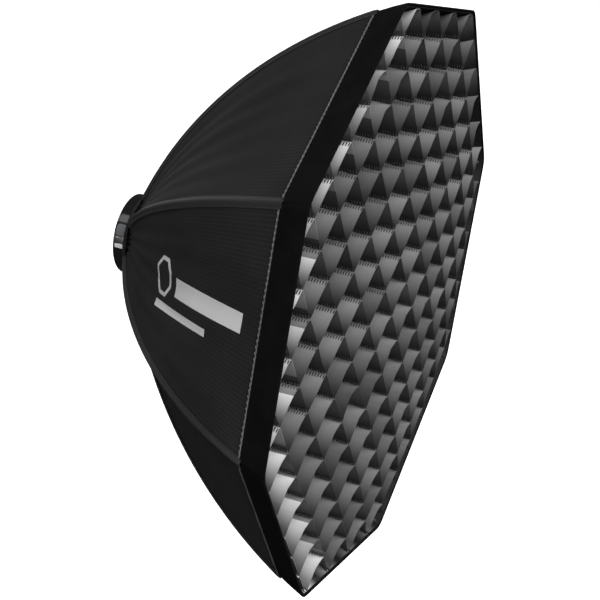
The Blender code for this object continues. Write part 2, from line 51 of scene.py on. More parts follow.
CAMERA_ROLL = radians(9.45)
LENS_MM = 88.0

camera_data = bpy.data.cameras.new("camera")
camera_data.lens = LENS_MM
camera_data.sensor_width = 36.0
camera = bpy.data.objects.new("camera", camera_data)
camera.rotation_mode = 'QUATERNION'
camera.rotation_quaternion = (CAMERA_LOOK.to_track_quat('-Z', 'Y')
                              @ Matrix.Rotation(CAMERA_ROLL, 3, 'Z').to_quaternion())
camera.location = CAMERA_PLACE
bpy.context.scene.collection.objects.link(camera)
bpy.context.scene.camera = camera


# Shell panels: eight pieces of black ripstop cloth, cut to the bow of the rods and sewn edge to
# edge. The hem gathers them round the ring, and each pulls in a little between its two rods.
SIDES = 8
HALF_SIDE = pi / SIDES
BOW_RADIUS = 0.863
FRONT_SLOPE = radians(23.1)
HEM_RADIUS = 0.0697
PANEL_SAG = 0.008
ROUND_LENGTH = 0.080
CLOTH = 0.0005                       # thickness of the shell cloth

rim_low, rim_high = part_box("rim_band")
front_depth = -rim_low.y
rim_back = -rim_high.y
front_apothem = rim_high.z
CENTRE_DEPTH = front_depth + BOW_RADIUS * sin(FRONT_SLOPE)
CENTRE_RADIUS = front_apothem / cos(HALF_SIDE) - BOW_RADIUS * cos(FRONT_SLOPE)
HEM_SLOPE = acos((HEM_RADIUS - CENTRE_RADIUS) / BOW_RADIUS)
RIM_SLOPE = asin((CENTRE_DEPTH - rim_back) / BOW_RADIUS)


def seam_depth(slope):
    """Depth of the seam over a rod, from the ring's rear face, where it has a slope."""
    return CENTRE_DEPTH - BOW_RADIUS * np.sin(slope)


def seam_radius(slope):
    """Distance of the seam from the axis, where it has a slope against the axis."""
    return CENTRE_RADIUS + BOW_RADIUS * np.cos(slope)


def slope_at(depth):
    """The seam's slope at a depth."""
    return np.arcsin((CENTRE_DEPTH - depth) / BOW_RADIUS)


def shell_points(slope, across, side, lift=0.0, sag_share=1.0):
    """Points on the shell in the row frame. across runs from -1 to 1 between two seams, side 0
    faces +X and the sides go round over the top, and lift raises the point off the shell."""
    slope, across = np.broadcast_arrays(np.asarray(slope, float), np.asarray(across, float))
    from_rim = np.clip((slope - RIM_SLOPE) / (HEM_SLOPE - RIM_SLOPE), 0, 1)
    sag = PANEL_SAG * sag_share * (1 - (1 - from_rim) ** 4) * (1 - across ** 2) - lift
    depth = seam_depth(slope) + sag * np.sin(slope)
    radius = seam_radius(slope)
    sideways = radius * sin(HALF_SIDE) * across
    outwards = radius * cos(HALF_SIDE) - sag * np.cos(slope)
    from_hem = BOW_RADIUS * (HEM_SLOPE - slope)
    roundness = np.clip(1 - from_hem / ROUND_LENGTH, 0, 1) ** 2
    swell = 1 + roundness * ((radius + lift) / np.hypot(sideways, outwards) - 1)
    angle = 2 * HALF_SIDE * side
    x = swell * (outwards * np.cos(angle) - sideways * np.sin(angle))
    z = swell * (outwards * np.sin(angle) + sideways * np.cos(angle))
    return np.stack([x, -depth, z], axis=-1)


def cloth_sheet(name, points, thickness, closed=False, inwards=True, crease=radians(50)):
    """A sheet of quads through rows of points. Its UV map is in metres along the cloth, and it
    is made thick inwards, against the side that its rows and columns turn to."""
    rows, columns = points.shape[:2]
    numbers = np.arange(rows * columns).reshape(rows, columns)
    if closed:
        numbers = np.concatenate([numbers, numbers[:, :1]], axis=1)
    quads = np.stack([numbers[:-1, :-1], numbers[:-1, 1:], numbers[1:, 1:], numbers[1:, :-1]],
                     axis=-1).reshape(-1, 4)
    mesh = bpy.data.meshes.new(name)
    mesh.from_pydata(points.reshape(-1, 3).tolist(), [], quads.tolist())
    ring = np.concatenate([points, points[:, :1]], axis=1) if closed else points
    middle_row, middle_column = ring[rows // 2], points[:, columns // 2]
    u = np.concatenate([[0], np.cumsum(np.linalg.norm(np.diff(middle_row, axis=0), axis=1))])
    v = np.concatenate([[0], np.cumsum(np.linalg.norm(np.diff(middle_column, axis=0), axis=1))])
    across, along = np.meshgrid(u, v)
    place = np.stack([across, along], axis=-1)
    corners = np.stack([place[:-1, :-1], place[:-1, 1:], place[1:, 1:], place[1:, :-1]], axis=2)
    mesh.uv_layers.new(name="metres").data.foreach_set("uv", corners.reshape(-1))
    piece = bpy.data.objects.new(name, mesh)
    bpy.context.scene.collection.objects.link(piece)
    solid = piece.modifiers.new("thickness", 'SOLIDIFY')
    solid.thickness = thickness
    solid.offset = -1.0 if inwards else 1.0
    solid.use_even_offset = False
    graph = bpy.context.evaluated_depsgraph_get()
    piece.data = bpy.data.meshes.new_from_object(piece.evaluated_get(graph))
    piece.modifiers.clear()
    bpy.data.meshes.remove(mesh)
    piece.data.name = name
    piece.data.shade_smooth()
    piece.data.set_sharp_from_angle(angle=crease)
    return piece


def empty_material(name):
    """A material without nodes, with its node list and its links."""
    material = bpy.data.materials.new(name)
    material.use_nodes = True
    material.node_tree.nodes.clear()
    return material, material.node_tree.nodes, material.node_tree.links


def set_in_columns(columns):
    """Places nodes side by side in the editor, one column for each group."""
    for column, group in enumerate(columns):
        for row, node in enumerate(group):
            node.location = (column * 260, -row * 280)


def woven_cloth(name, colour, rib_colour, rib_spacing, rib_width, thread, weave_depth,
                roughness, sheen, variation=0.25, metallic=0.0, shine=0.5, see_through=0.0,
                painted_peak_light=False):
    """Woven cloth: fine threads both ways, thicker ribs in a square grid, and uneven dye. Where
    it is folded to and fro its colour can carry painted light and shade: pale on its peaks,
    dark in its valleys."""
    material, nodes, links = empty_material(name)
    output = nodes.new('ShaderNodeOutputMaterial')
    output.label = "cloth surface"
    shader = nodes.new('ShaderNodeBsdfPrincipled')
    shader.label = "cloth fibres"
    shader.inputs['Metallic'].default_value = metallic
    shader.inputs['Specular IOR Level'].default_value = shine
    shader.inputs['Sheen Weight'].default_value = sheen
    shader.inputs['Sheen Roughness'].default_value = 0.45
    place = nodes.new('ShaderNodeTexCoord')
    place.label = "metres along the cloth"

    rib_frame = nodes.new('NodeFrame')
    rib_frame.label = "ripstop ribs"
    to_mm = nodes.new('ShaderNodeMapping')
    to_mm.label = "millimetres"
    to_mm.inputs['Scale'].default_value = (1000.0, 1000.0, 1000.0)
    ribs = nodes.new('ShaderNodeTexBrick')
    ribs.label = "square rib grid"
    ribs.offset = 0.0
    ribs.squash = 1.0
    ribs.inputs['Scale'].default_value = 1.0
    ribs.inputs['Brick Width'].default_value = rib_spacing * 1000
    ribs.inputs['Row Height'].default_value = rib_spacing * 1000
    ribs.inputs['Mortar Size'].default_value = rib_width * 1000
    ribs.inputs['Mortar Smooth'].default_value = 0.6
    for node in (to_mm, ribs):
        node.parent = rib_frame

    weave_frame = nodes.new('NodeFrame')
    weave_frame.label = "threads"
    warp = nodes.new('ShaderNodeTexWave')
    warp.label = "warp threads"
    warp.bands_direction = 'X'
    warp.inputs['Scale'].default_value = pi / 10 / thread
    weft = nodes.new('ShaderNodeTexWave')
    weft.label = "weft threads"
    weft.bands_direction = 'Y'
    weft.inputs['Scale'].default_value = pi / 10 / thread
    crossing = nodes.new('ShaderNodeMath')
    crossing.label = "threads over and under"
    crossing.operation = 'MULTIPLY'
    for node in (warp, weft, crossing):
        node.parent = weave_frame

    # This frame also holds the painted light and shade of folded cloth, further down.
    dye_frame = nodes.new('NodeFrame')
    dye_frame.label = "uneven dye and handling"
    dye = nodes.new('ShaderNodeTexNoise')
    dye.label = "dye patches"
    dye.inputs['Scale'].default_value = 9.0
    dye.inputs['Detail'].default_value = 6.0
    dye_range = nodes.new('ShaderNodeMapRange')
    dye_range.label = "how uneven"
    dye_range.inputs['From Min'].default_value = 0.3
    dye_range.inputs['From Max'].default_value = 0.7
    dye_range.inputs['To Min'].default_value = 1 - variation
    dye_range.inputs['To Max'].default_value = 1 + variation
    dyed = nodes.new('ShaderNodeMix')
    dyed.label = "cloth and rib colour"
    dyed.data_type = 'RGBA'
    dyed.inputs['A'].default_value = (*colour, 1.0)
    dyed.inputs['B'].default_value = (*rib_colour, 1.0)
    shaded = nodes.new('ShaderNodeVectorMath')
    shaded.label = "dyed colour"
    shaded.operation = 'SCALE'
    for node in (dye, dye_range, dyed, shaded):
        node.parent = dye_frame

    # Painted light and shade: where the cloth is folded, its colour is scaled from 0.08 times at a
    # valley (painted shade) to 1.95 times at a peak (painted light).
    if painted_peak_light:
        painted_light_share = nodes.new('ShaderNodeAttribute')
        painted_light_share.label = "from valley to peak"
        painted_light_share.attribute_name = "rub_wear_and_painted_light"
        painted_light_share.location = (260, -1400)
        wear_and_painted_light_range = nodes.new('ShaderNodeMapRange')
        wear_and_painted_light_range.label = "dark valleys, rubbed peaks"
        wear_and_painted_light_range.interpolation_type = 'SMOOTHSTEP'
        wear_and_painted_light_range.location = (520, -1400)
        wear_and_painted_light_range.inputs['To Min'].default_value = 0.08
        wear_and_painted_light_range.inputs['To Max'].default_value = 1.95
        worn_and_painted_light = nodes.new('ShaderNodeVectorMath')
        worn_and_painted_light.label = "worn colour"
        worn_and_painted_light.operation = 'SCALE'
        worn_and_painted_light.location = (1040, -1120)
        for node in (painted_light_share, wear_and_painted_light_range, worn_and_painted_light):
            node.parent = dye_frame
        links.new(painted_light_share.outputs['Fac'], wear_and_painted_light_range.inputs['Value'])
        links.new(shaded.outputs['Vector'], worn_and_painted_light.inputs[0])
        links.new(wear_and_painted_light_range.outputs['Result'], worn_and_painted_light.inputs['Scale'])

    gloss_frame = nodes.new('NodeFrame')
    gloss_frame.label = "worn and smooth places"
    rub_wear_and_painted_light = nodes.new('ShaderNodeTexNoise')
    rub_wear_and_painted_light.label = "rubbed places"
    rub_wear_and_painted_light.inputs['Scale'].default_value = 38.0
    rub_wear_and_painted_light.inputs['Detail'].default_value = 4.0
    gloss = nodes.new('ShaderNodeMapRange')
    gloss.label = "roughness"
    gloss.inputs['To Min'].default_value = roughness - 0.07
    gloss.inputs['To Max'].default_value = min(1.0, roughness + 0.07)
    for node in (rub_wear_and_painted_light, gloss):
        node.parent = gloss_frame

    relief_frame = nodes.new('NodeFrame')
    relief_frame.label = "relief"
    weave_relief = nodes.new('ShaderNodeBump')
    weave_relief.label = "thread relief"
    weave_relief.inputs['Strength'].default_value = 0.5
    weave_relief.inputs['Distance'].default_value = weave_depth
    rib_relief = nodes.new('ShaderNodeBump')
    rib_relief.label = "rib relief"
    rib_relief.inputs['Strength'].default_value = 0.6
    rib_relief.inputs['Distance'].default_value = weave_depth * 1.5
    for node in (weave_relief, rib_relief):
        node.parent = relief_frame

    links.new(place.outputs['UV'], to_mm.inputs['Vector'])
    links.new(to_mm.outputs['Vector'], ribs.inputs['Vector'])
    links.new(place.outputs['UV'], warp.inputs['Vector'])
    links.new(place.outputs['UV'], weft.inputs['Vector'])
    links.new(warp.outputs['Fac'], crossing.inputs[0])
    links.new(weft.outputs['Fac'], crossing.inputs[1])
    links.new(place.outputs['Object'], dye.inputs['Vector'])
    links.new(place.outputs['Object'], rub_wear_and_painted_light.inputs['Vector'])
    links.new(dye.outputs['Fac'], dye_range.inputs['Value'])
    links.new(ribs.outputs['Fac'], dyed.inputs['Factor'])
    links.new(dyed.outputs['Result'], shaded.inputs[0])
    links.new(dye_range.outputs['Result'], shaded.inputs['Scale'])
    links.new((worn_and_painted_light if painted_peak_light else shaded).outputs['Vector'], shader.inputs['Base Color'])
    links.new(rub_wear_and_painted_light.outputs['Fac'], gloss.inputs['Value'])
    links.new(gloss.outputs['Result'], shader.inputs['Roughness'])
    links.new(crossing.outputs['Value'], weave_relief.inputs['Height'])
    links.new(ribs.outputs['Fac'], rib_relief.inputs['Height'])
    links.new(weave_relief.outputs['Normal'], rib_relief.inputs['Normal'])
    links.new(rib_relief.outputs['Normal'], shader.inputs['Normal'])
    surface = shader
    if see_through:
        glow = nodes.new('ShaderNodeBsdfTranslucent')
        glow.label = "light through the cloth"
        glow.inputs['Color'].default_value = (*colour, 1.0)
        share = nodes.new('ShaderNodeMixShader')
        share.label = "share of light let through"
        share.inputs['Fac'].default_value = see_through
        glow.location = (1300, -280)
        share.location = (1430, 120)
        links.new(shader.outputs['BSDF'], share.inputs[1])
        links.new(glow.outputs['BSDF'], share.inputs[2])
        surface = share
    links.new(surface.outputs[0], output.inputs['Surface'])
    set_in_columns(((place,), (to_mm, warp, weft, dye, rub_wear_and_painted_light),
                    (ribs, crossing, dye_range, gloss), (dyed, weave_relief),
                    (shaded, rib_relief), (shader,), (output,)))
    return material


def folds(size, seed, count=9):
    """Soft random waves over a field of that many rows and columns, between about -1 and 1."""
    draw = np.random.default_rng(seed)
    v, u = np.meshgrid(np.linspace(0, 1, size[0]), np.linspace(0, 1, size[1]), indexing='ij')
    field = np.zeros(size)
    for _ in range(count):
        along, over = draw.uniform(0.2, 1.6), draw.uniform(-3.5, 3.5)
        field += np.sin(2 * pi * (along * v + over * u) + draw.uniform(0, 2 * pi))
    return field / sqrt(count)


ripstop = woven_cloth("black_ripstop", (0.0105, 0.0105, 0.0105), (0.024, 0.024, 0.024),
                      0.0042, 0.0005, 0.0006, 0.00009, 0.60, 0.04, shine=0.3)

PANEL_ROWS = 96
PANEL_COLUMNS = 56
UNDER_RIM = 0.006                    # the panels run on by this angle under the rim band
PLEAT = 0.0085                       # width of one gather at the hem
GATHER_DEPTH = 0.0013
GATHER_REACH = 0.030
SEAM_PUCKER = 0.00035                # depth, width and reach of the puckers at the rim
SEAM_PUCKER_PITCH = 0.0075
SEAM_PUCKER_REACH = 0.010
TAPE_PULL = 0.00025                  # depth, width and reach of the puckers beside the tapes
TAPE_PULL_PITCH = 0.011
TAPE_PULL_REACH = 0.009
SOFT_WAVE = 0.0011
STREAK = 0.0009
PANEL_SINK = 0.0004
PRINT_SIDE = 4                       # the panel to the left carries the printed mark
TAPE_LAP = 0.0045                    # the panels reach this close to the seam, under the tape
panel_slope = np.linspace(HEM_SLOPE, RIM_SLOPE - UNDER_RIM, PANEL_ROWS)[:, None]
tape_share = 1 - TAPE_LAP / (seam_radius(panel_slope) * sin(HALF_SIDE))
panel_across = np.linspace(-1, 1, PANEL_COLUMNS)[None, :] * tape_share
along_panel = BOW_RADIUS * (HEM_SLOPE - panel_slope)
to_rim = along_panel[-1] - along_panel
sideways = panel_across * seam_radius(panel_slope) * sin(HALF_SIDE)
near_tape = seam_radius(panel_slope) * sin(HALF_SIDE) - np.abs(sideways)

for side in range(SIDES):
    waver = folds((PANEL_ROWS, PANEL_COLUMNS), 20 + side)
    gather = (GATHER_DEPTH * np.cos(2 * pi * sideways / PLEAT + waver)
              * np.exp(-along_panel / GATHER_REACH))
    pucker = (SEAM_PUCKER * np.cos(2 * pi * sideways / SEAM_PUCKER_PITCH + waver)
              * np.exp(-to_rim / SEAM_PUCKER_REACH))
    pull = (TAPE_PULL * np.cos(2 * pi * along_panel / TAPE_PULL_PITCH + waver)
            * np.exp(-near_tape / TAPE_PULL_REACH))
    pull = pull * np.clip(along_panel / 0.1, 0, 1)
    length_share = along_panel / along_panel[-1]
    streak = np.sin(2 * pi * (panel_across * (2.1 + 0.3 * side) + 0.4 * length_share) + side)
    slack = SOFT_WAVE * waver + STREAK * streak
    slack = slack * np.sin(pi * length_share) * (1 - panel_across ** 4)
    lift = gather + pucker + pull + slack - PANEL_SINK
    if side == PRINT_SIDE:
        print_ground = lift
    points = shell_points(panel_slope, panel_across, side, lift)
    panel = cloth_sheet(f"panel_cloth_{side + 1}", points, CLOTH)
    panel.data.materials.append(ripstop)
    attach(panel, "octabox")
    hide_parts(f"shell_panel_{side + 1}")


# Printed mark: a plain octagon outline and two plain bars in white ink on the left panel. The
# ink is a thin skin that follows the cloth's folds.
INK = 0.00015
INK_LIFT = 0.0003
MARK_MIDDLE = 0.290                  # of the octagon, along the panel from the hem
MARK_OFFSET = -0.010                 # of its middle, to the side of the panel's middle
MARK_RADIUS = 0.031
MARK_LINE = 0.0065
BARS = ((0.338, 0.525, -0.019, 0.009), (0.268, 0.440, 0.028, 0.039))   # start, stop and sides


def printed(name, along, offset):
    """A skin of ink on the panel, at places along it from the hem and to its side."""
    slope = HEM_SLOPE - along / BOW_RADIUS
    half_width = seam_radius(slope) * sin(HALF_SIDE)
    row = (slope - HEM_SLOPE) / (panel_slope[-1, 0] - HEM_SLOPE) * (PANEL_ROWS - 1)
    column = (offset / (half_width - TAPE_LAP) + 1) / 2 * (PANEL_COLUMNS - 1)
    first_row, first_column = row.astype(int), column.astype(int)
    part_row, part_column = row - first_row, column - first_column
    ground = sum(np.abs(1 - down - part_row) * np.abs(1 - over - part_column)
                 * print_ground[first_row + down, first_column + over]
                 for down in (0, 1) for over in (0, 1))
    points = shell_points(slope, offset / half_width, PRINT_SIDE, ground + INK_LIFT)
    skin = cloth_sheet(name, points, INK)
    skin.data.materials.append(white_ink)
    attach(skin, "octabox")


white_ink = woven_cloth("white_ink", (0.78, 0.78, 0.78), (0.84, 0.84, 0.84),
                        0.0042, 0.0005, 0.0006, 0.00006, 0.55, 0.0, variation=0.04)
for number, (start, stop, left, right) in enumerate(BARS):
    along, offset = np.meshgrid(np.linspace(start, stop, 120), np.linspace(left, right, 24),
                                indexing='ij')
    printed(f"print_bar_{number + 1}", along, offset)
turn = np.linspace(0, 2 * pi, 8 * 12 + 1)
flat_share = cos(HALF_SIDE) / np.cos((turn + HALF_SIDE) % (2 * HALF_SIDE) - HALF_SIDE)
outline = np.array([MARK_RADIUS - MARK_LINE, MARK_RADIUS])[:, None] * flat_share
printed("print_octagon", MARK_MIDDLE + outline * np.cos(turn),
        MARK_OFFSET + outline * np.sin(turn))


# Lining: each panel is laid with silver cloth on its inner side, which throws the lamp's light
# forwards. It is sewn in at the seams and puckers a little between them.
LINING_GAP = 0.0004
LINING_CLOTH = 0.0003
LINING_DROP = 0.0024                 # the least that it hangs inside the panel
LINING_RUFFLE = 0.0008
LINING_CREASE = 0.0004
CREASE_PITCH = 0.019
silver = woven_cloth("silver_lining_cloth", (0.62, 0.63, 0.64), (0.70, 0.71, 0.72),
                     0.0030, 0.0003, 0.0007, 0.00008, 0.36, 0.0, variation=0.08, metallic=0.85)

for side in range(SIDES):
    ruffle = folds((PANEL_ROWS, PANEL_COLUMNS), 60 + side, count=14)
    crease = (LINING_CREASE * np.sin(2 * pi * along_panel / CREASE_PITCH + 3 * ruffle)
              * panel_across ** 6)
    lift = -CLOTH - LINING_GAP - LINING_DROP - LINING_RUFFLE * np.abs(ruffle) + crease
    points = shell_points(panel_slope, panel_across, side, lift)[:, ::-1]
    lining = cloth_sheet(f"silver_lining_{side + 1}", points, LINING_CLOTH)
    lining.data.materials.append(silver)
    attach(lining, "octabox")


# Rod sleeves: a black woven tape is sewn over each seam with two rows of stitches. The rod runs
# in the tunnel under it, and stands up as a soft ridge down the middle of the tape.
TAPE_HALF = 0.00875
TAPE_THICKNESS = 0.0006
TAPE_ROWS = 150
TAPE_COLUMNS = 17
TAPE_WAVE = 0.00025
TAPE_LIFT = 0.0011
RIDGE_HEIGHT = 0.0019
RIDGE_HALF = 0.0046
STITCH_FROM_EDGE = 0.0014
STITCH_PITCH = 0.0040
STITCH_LENGTH = 0.0027
THREAD_RADIUS = 0.00022

tape_cloth = woven_cloth("black_tape", (0.0135, 0.0135, 0.0135), (0.022, 0.022, 0.022),
                         0.0019, 0.0004, 0.0009, 0.00014, 0.55, 0.10)


def over_seam(slope, offset, number, lift):
    """Points over a numbered seam. The offset is measured from it along the shell's cloth."""
    slope, offset, lift = np.broadcast_arrays(slope, offset, lift)
    share = 1 - np.abs(offset) / (seam_radius(slope) * sin(HALF_SIDE))
    before = shell_points(slope, share, number - 1, lift)
    after = shell_points(slope, -share, number, lift)
    place = np.sign(offset)[..., None]
    return np.where(place < 0, before, np.where(place > 0, after, (before + after) / 2))


def surface_frame(points):
    """Unit vectors along the rows, along the columns and out of a grid of points."""
    down = np.gradient(points, axis=0)
    over = np.gradient(points, axis=1)
    down /= np.linalg.norm(down, axis=-1, keepdims=True)
    over /= np.linalg.norm(over, axis=-1, keepdims=True)
    out = np.cross(over, down)
    return down, over, out / np.linalg.norm(out, axis=-1, keepdims=True)


def thread_run(name, centres, directions, normals, length, radius, height=1.0):
    """Sewing thread that shows as short stitches. Each is a low arch whose two ends dip into
    the cloth under it."""
    steps = np.linspace(-1, 1, 5)
    centres, directions, normals = (np.asarray(a, float).reshape(-1, 3)
                                    for a in (centres, directions, normals))
    sideways = np.cross(directions, normals)
    arch = (1 - steps ** 2) * radius * height
    middles = (centres[:, None] + directions[:, None] * (length / 2 * steps)[None, :, None]
               + normals[:, None] * arch[None, :, None])
    turn = np.arange(4) * pi / 2 + pi / 4
    thickness = radius * np.array([0.45, 1.0, 1.0, 1.0, 0.45])
    ring = (np.cos(turn)[None, None, :, None] * sideways[:, None, None]
            + np.sin(turn)[None, None, :, None] * normals[:, None, None])
    points = middles[:, :, None] + ring * thickness[None, :, None, None]
    numbers = np.arange(points.size // 3).reshape(points.shape[:3])
    turned = np.roll(numbers, -1, axis=2)
    quads = np.stack([numbers[:, :-1], numbers[:, 1:], turned[:, 1:], turned[:, :-1]], axis=-1)
    ends = np.concatenate([numbers[:, 0], numbers[:, -1, ::-1]])
    mesh = bpy.data.meshes.new(name)
    mesh.from_pydata(points.reshape(-1, 3).tolist(), [],
                     quads.reshape(-1, 4).tolist() + ends.tolist())
    mesh.shade_smooth()
    run = bpy.data.objects.new(name, mesh)
    bpy.context.scene.collection.objects.link(run)
    return run


def sewing_thread(name, colour, roughness=0.5):
    """Twisted polyester sewing thread, with its plies and a little fluff."""
    material, nodes, links = empty_material(name)
    output = nodes.new('ShaderNodeOutputMaterial')
    output.label = "thread surface"
    shader = nodes.new('ShaderNodeBsdfPrincipled')
    shader.label = "polyester"
    shader.inputs['Roughness'].default_value = roughness
    shader.inputs['Sheen Weight'].default_value = 0.25
    place = nodes.new('ShaderNodeTexCoord')
    place.label = "place on the box"
    ply_frame = nodes.new('NodeFrame')
    ply_frame.label = "twisted plies"
    plies = nodes.new('ShaderNodeTexWave')
    plies.label = "plies"
    plies.bands_direction = 'DIAGONAL'
    plies.inputs['Scale'].default_value = 400.0
    ply_relief = nodes.new('ShaderNodeBump')
    ply_relief.label = "ply relief"
    ply_relief.inputs['Strength'].default_value = 0.5
    ply_relief.inputs['Distance'].default_value = 0.0001
    dye_frame = nodes.new('NodeFrame')
    dye_frame.label = "dye"
    dye = nodes.new('ShaderNodeTexNoise')
    dye.label = "uneven dye"
    dye.inputs['Scale'].default_value = 60.0
    shade = nodes.new('ShaderNodeMix')
    shade.label = "light and dark thread"
    shade.data_type = 'RGBA'
    shade.inputs['A'].default_value = (*(0.7 * part for part in colour), 1.0)
    shade.inputs['B'].default_value = (*(min(1.0, 1.3 * part) for part in colour), 1.0)
    for node, frame_node in ((plies, ply_frame), (ply_relief, ply_frame), (dye, dye_frame),
                             (shade, dye_frame)):
        node.parent = frame_node
    links.new(place.outputs['Object'], plies.inputs['Vector'])
    links.new(place.outputs['Object'], dye.inputs['Vector'])
    links.new(dye.outputs['Fac'], shade.inputs['Factor'])
    links.new(plies.outputs['Fac'], ply_relief.inputs['Height'])
    links.new(shade.outputs['Result'], shader.inputs['Base Color'])
    links.new(ply_relief.outputs['Normal'], shader.inputs['Normal'])
    links.new(shader.outputs['BSDF'], output.inputs['Surface'])
    set_in_columns(((place,), (plies, dye), (ply_relief, shade), (shader,), (output,)))
    return material


black_thread = sewing_thread("black_thread", (0.020, 0.020, 0.020))

tape_slope = np.linspace(HEM_SLOPE - 0.003, slope_at(rim_back + 0.003), TAPE_ROWS)[:, None]
tape_sink = 0.0008 * np.clip(1 - BOW_RADIUS * (tape_slope - tape_slope[-1]) / 0.006, 0, 1)
tape_offset = np.linspace(-TAPE_HALF, TAPE_HALF, TAPE_COLUMNS)[None, :]
ridge = RIDGE_HEIGHT * np.exp(-(tape_offset / RIDGE_HALF) ** 2)
for number in range(1, SIDES + 1):
    waver = folds((TAPE_ROWS, TAPE_COLUMNS), 90 + number)
    tug = TAPE_WAVE * waver * np.abs(tape_offset / TAPE_HALF)
    tape_points = over_seam(tape_slope, tape_offset, number, TAPE_LIFT + ridge + tug - tape_sink)
    tape = cloth_sheet(f"rod_sleeve_tape_{number}", tape_points, TAPE_THICKNESS)
    tape.data.materials.append(tape_cloth)
    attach(tape, "octabox")
    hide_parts(f"rod_sleeve_{number}")

    stitch_slope = np.arange(float(tape_slope[-1, 0]), float(tape_slope[0, 0]) - 0.004,
                             STITCH_PITCH / BOW_RADIUS)[::-1, None]
    stitch_offset = (TAPE_HALF - STITCH_FROM_EDGE) * np.array([[-1.02, -1.0, -0.98,
                                                                0.98, 1.0, 1.02]])
    grid_points = over_seam(stitch_slope, stitch_offset, number, TAPE_LIFT + 0.0001)
    down, over, out = surface_frame(grid_points)
    stitches = thread_run(f"sleeve_stitches_{number}", grid_points[:, (1, 4)],
                          down[:, (1, 4)], out[:, (0, 5)], STITCH_LENGTH, THREAD_RADIUS)
    stitches.data.materials.append(black_thread)
    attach(stitches, "octabox")


# Rim band: a deep tube of matt loop cloth round the front, folded over the front edge. The rod
# ends sit inside its corners, so these are blunt and each has a seam across the band.
BAND_COLUMNS = 168                   # points along one side
BLUNT_PULL = 0.0033
BLUNT_REACH = 0.017
BAND_LIFT = 0.0009
BAND_CLOTH = 0.0008
FOLD_RADIUS = 0.0017
OUTER_ROWS = 16                      # rows on the band's outer and inner side
INNER_ROWS = 12


def round_the_sides(columns):
    """Places from -1 to 1 along a side, for each of the eight sides in turn."""
    return np.tile(np.linspace(-1, 1, columns, endpoint=False), SIDES)


def eight_sided(depth, apothem, columns, lift=0.0):
    """Rows of points round the box. Each row is an octagon with its own depth and apothem, and
    its corners are pulled in where the rods' round ends are."""
    across = round_the_sides(columns)
    angle = np.repeat(np.arange(SIDES) * 2 * HALF_SIDE, columns)
    depth = np.asarray(depth, float)[:, None]
    outwards = np.asarray(apothem, float)[:, None] + lift
    sideways = outwards * np.tan(HALF_SIDE) * across
    to_corner = outwards * np.tan(HALF_SIDE) * (1 - np.abs(across))
    pull = BLUNT_PULL * np.clip(1 - to_corner / BLUNT_REACH, 0, 1) ** 2
    shrink = 1 - pull / np.hypot(outwards, sideways)
    x = shrink * (outwards * np.cos(angle) - sideways * np.sin(angle))
    z = shrink * (outwards * np.sin(angle) + sideways * np.cos(angle))
    return np.stack([x, -depth + 0 * x, z], axis=-1)


def skin_apothem(depth):
    """Apothem of the shell's outer face at a depth in the rim."""
    return seam_radius(slope_at(depth)) * cos(HALF_SIDE)


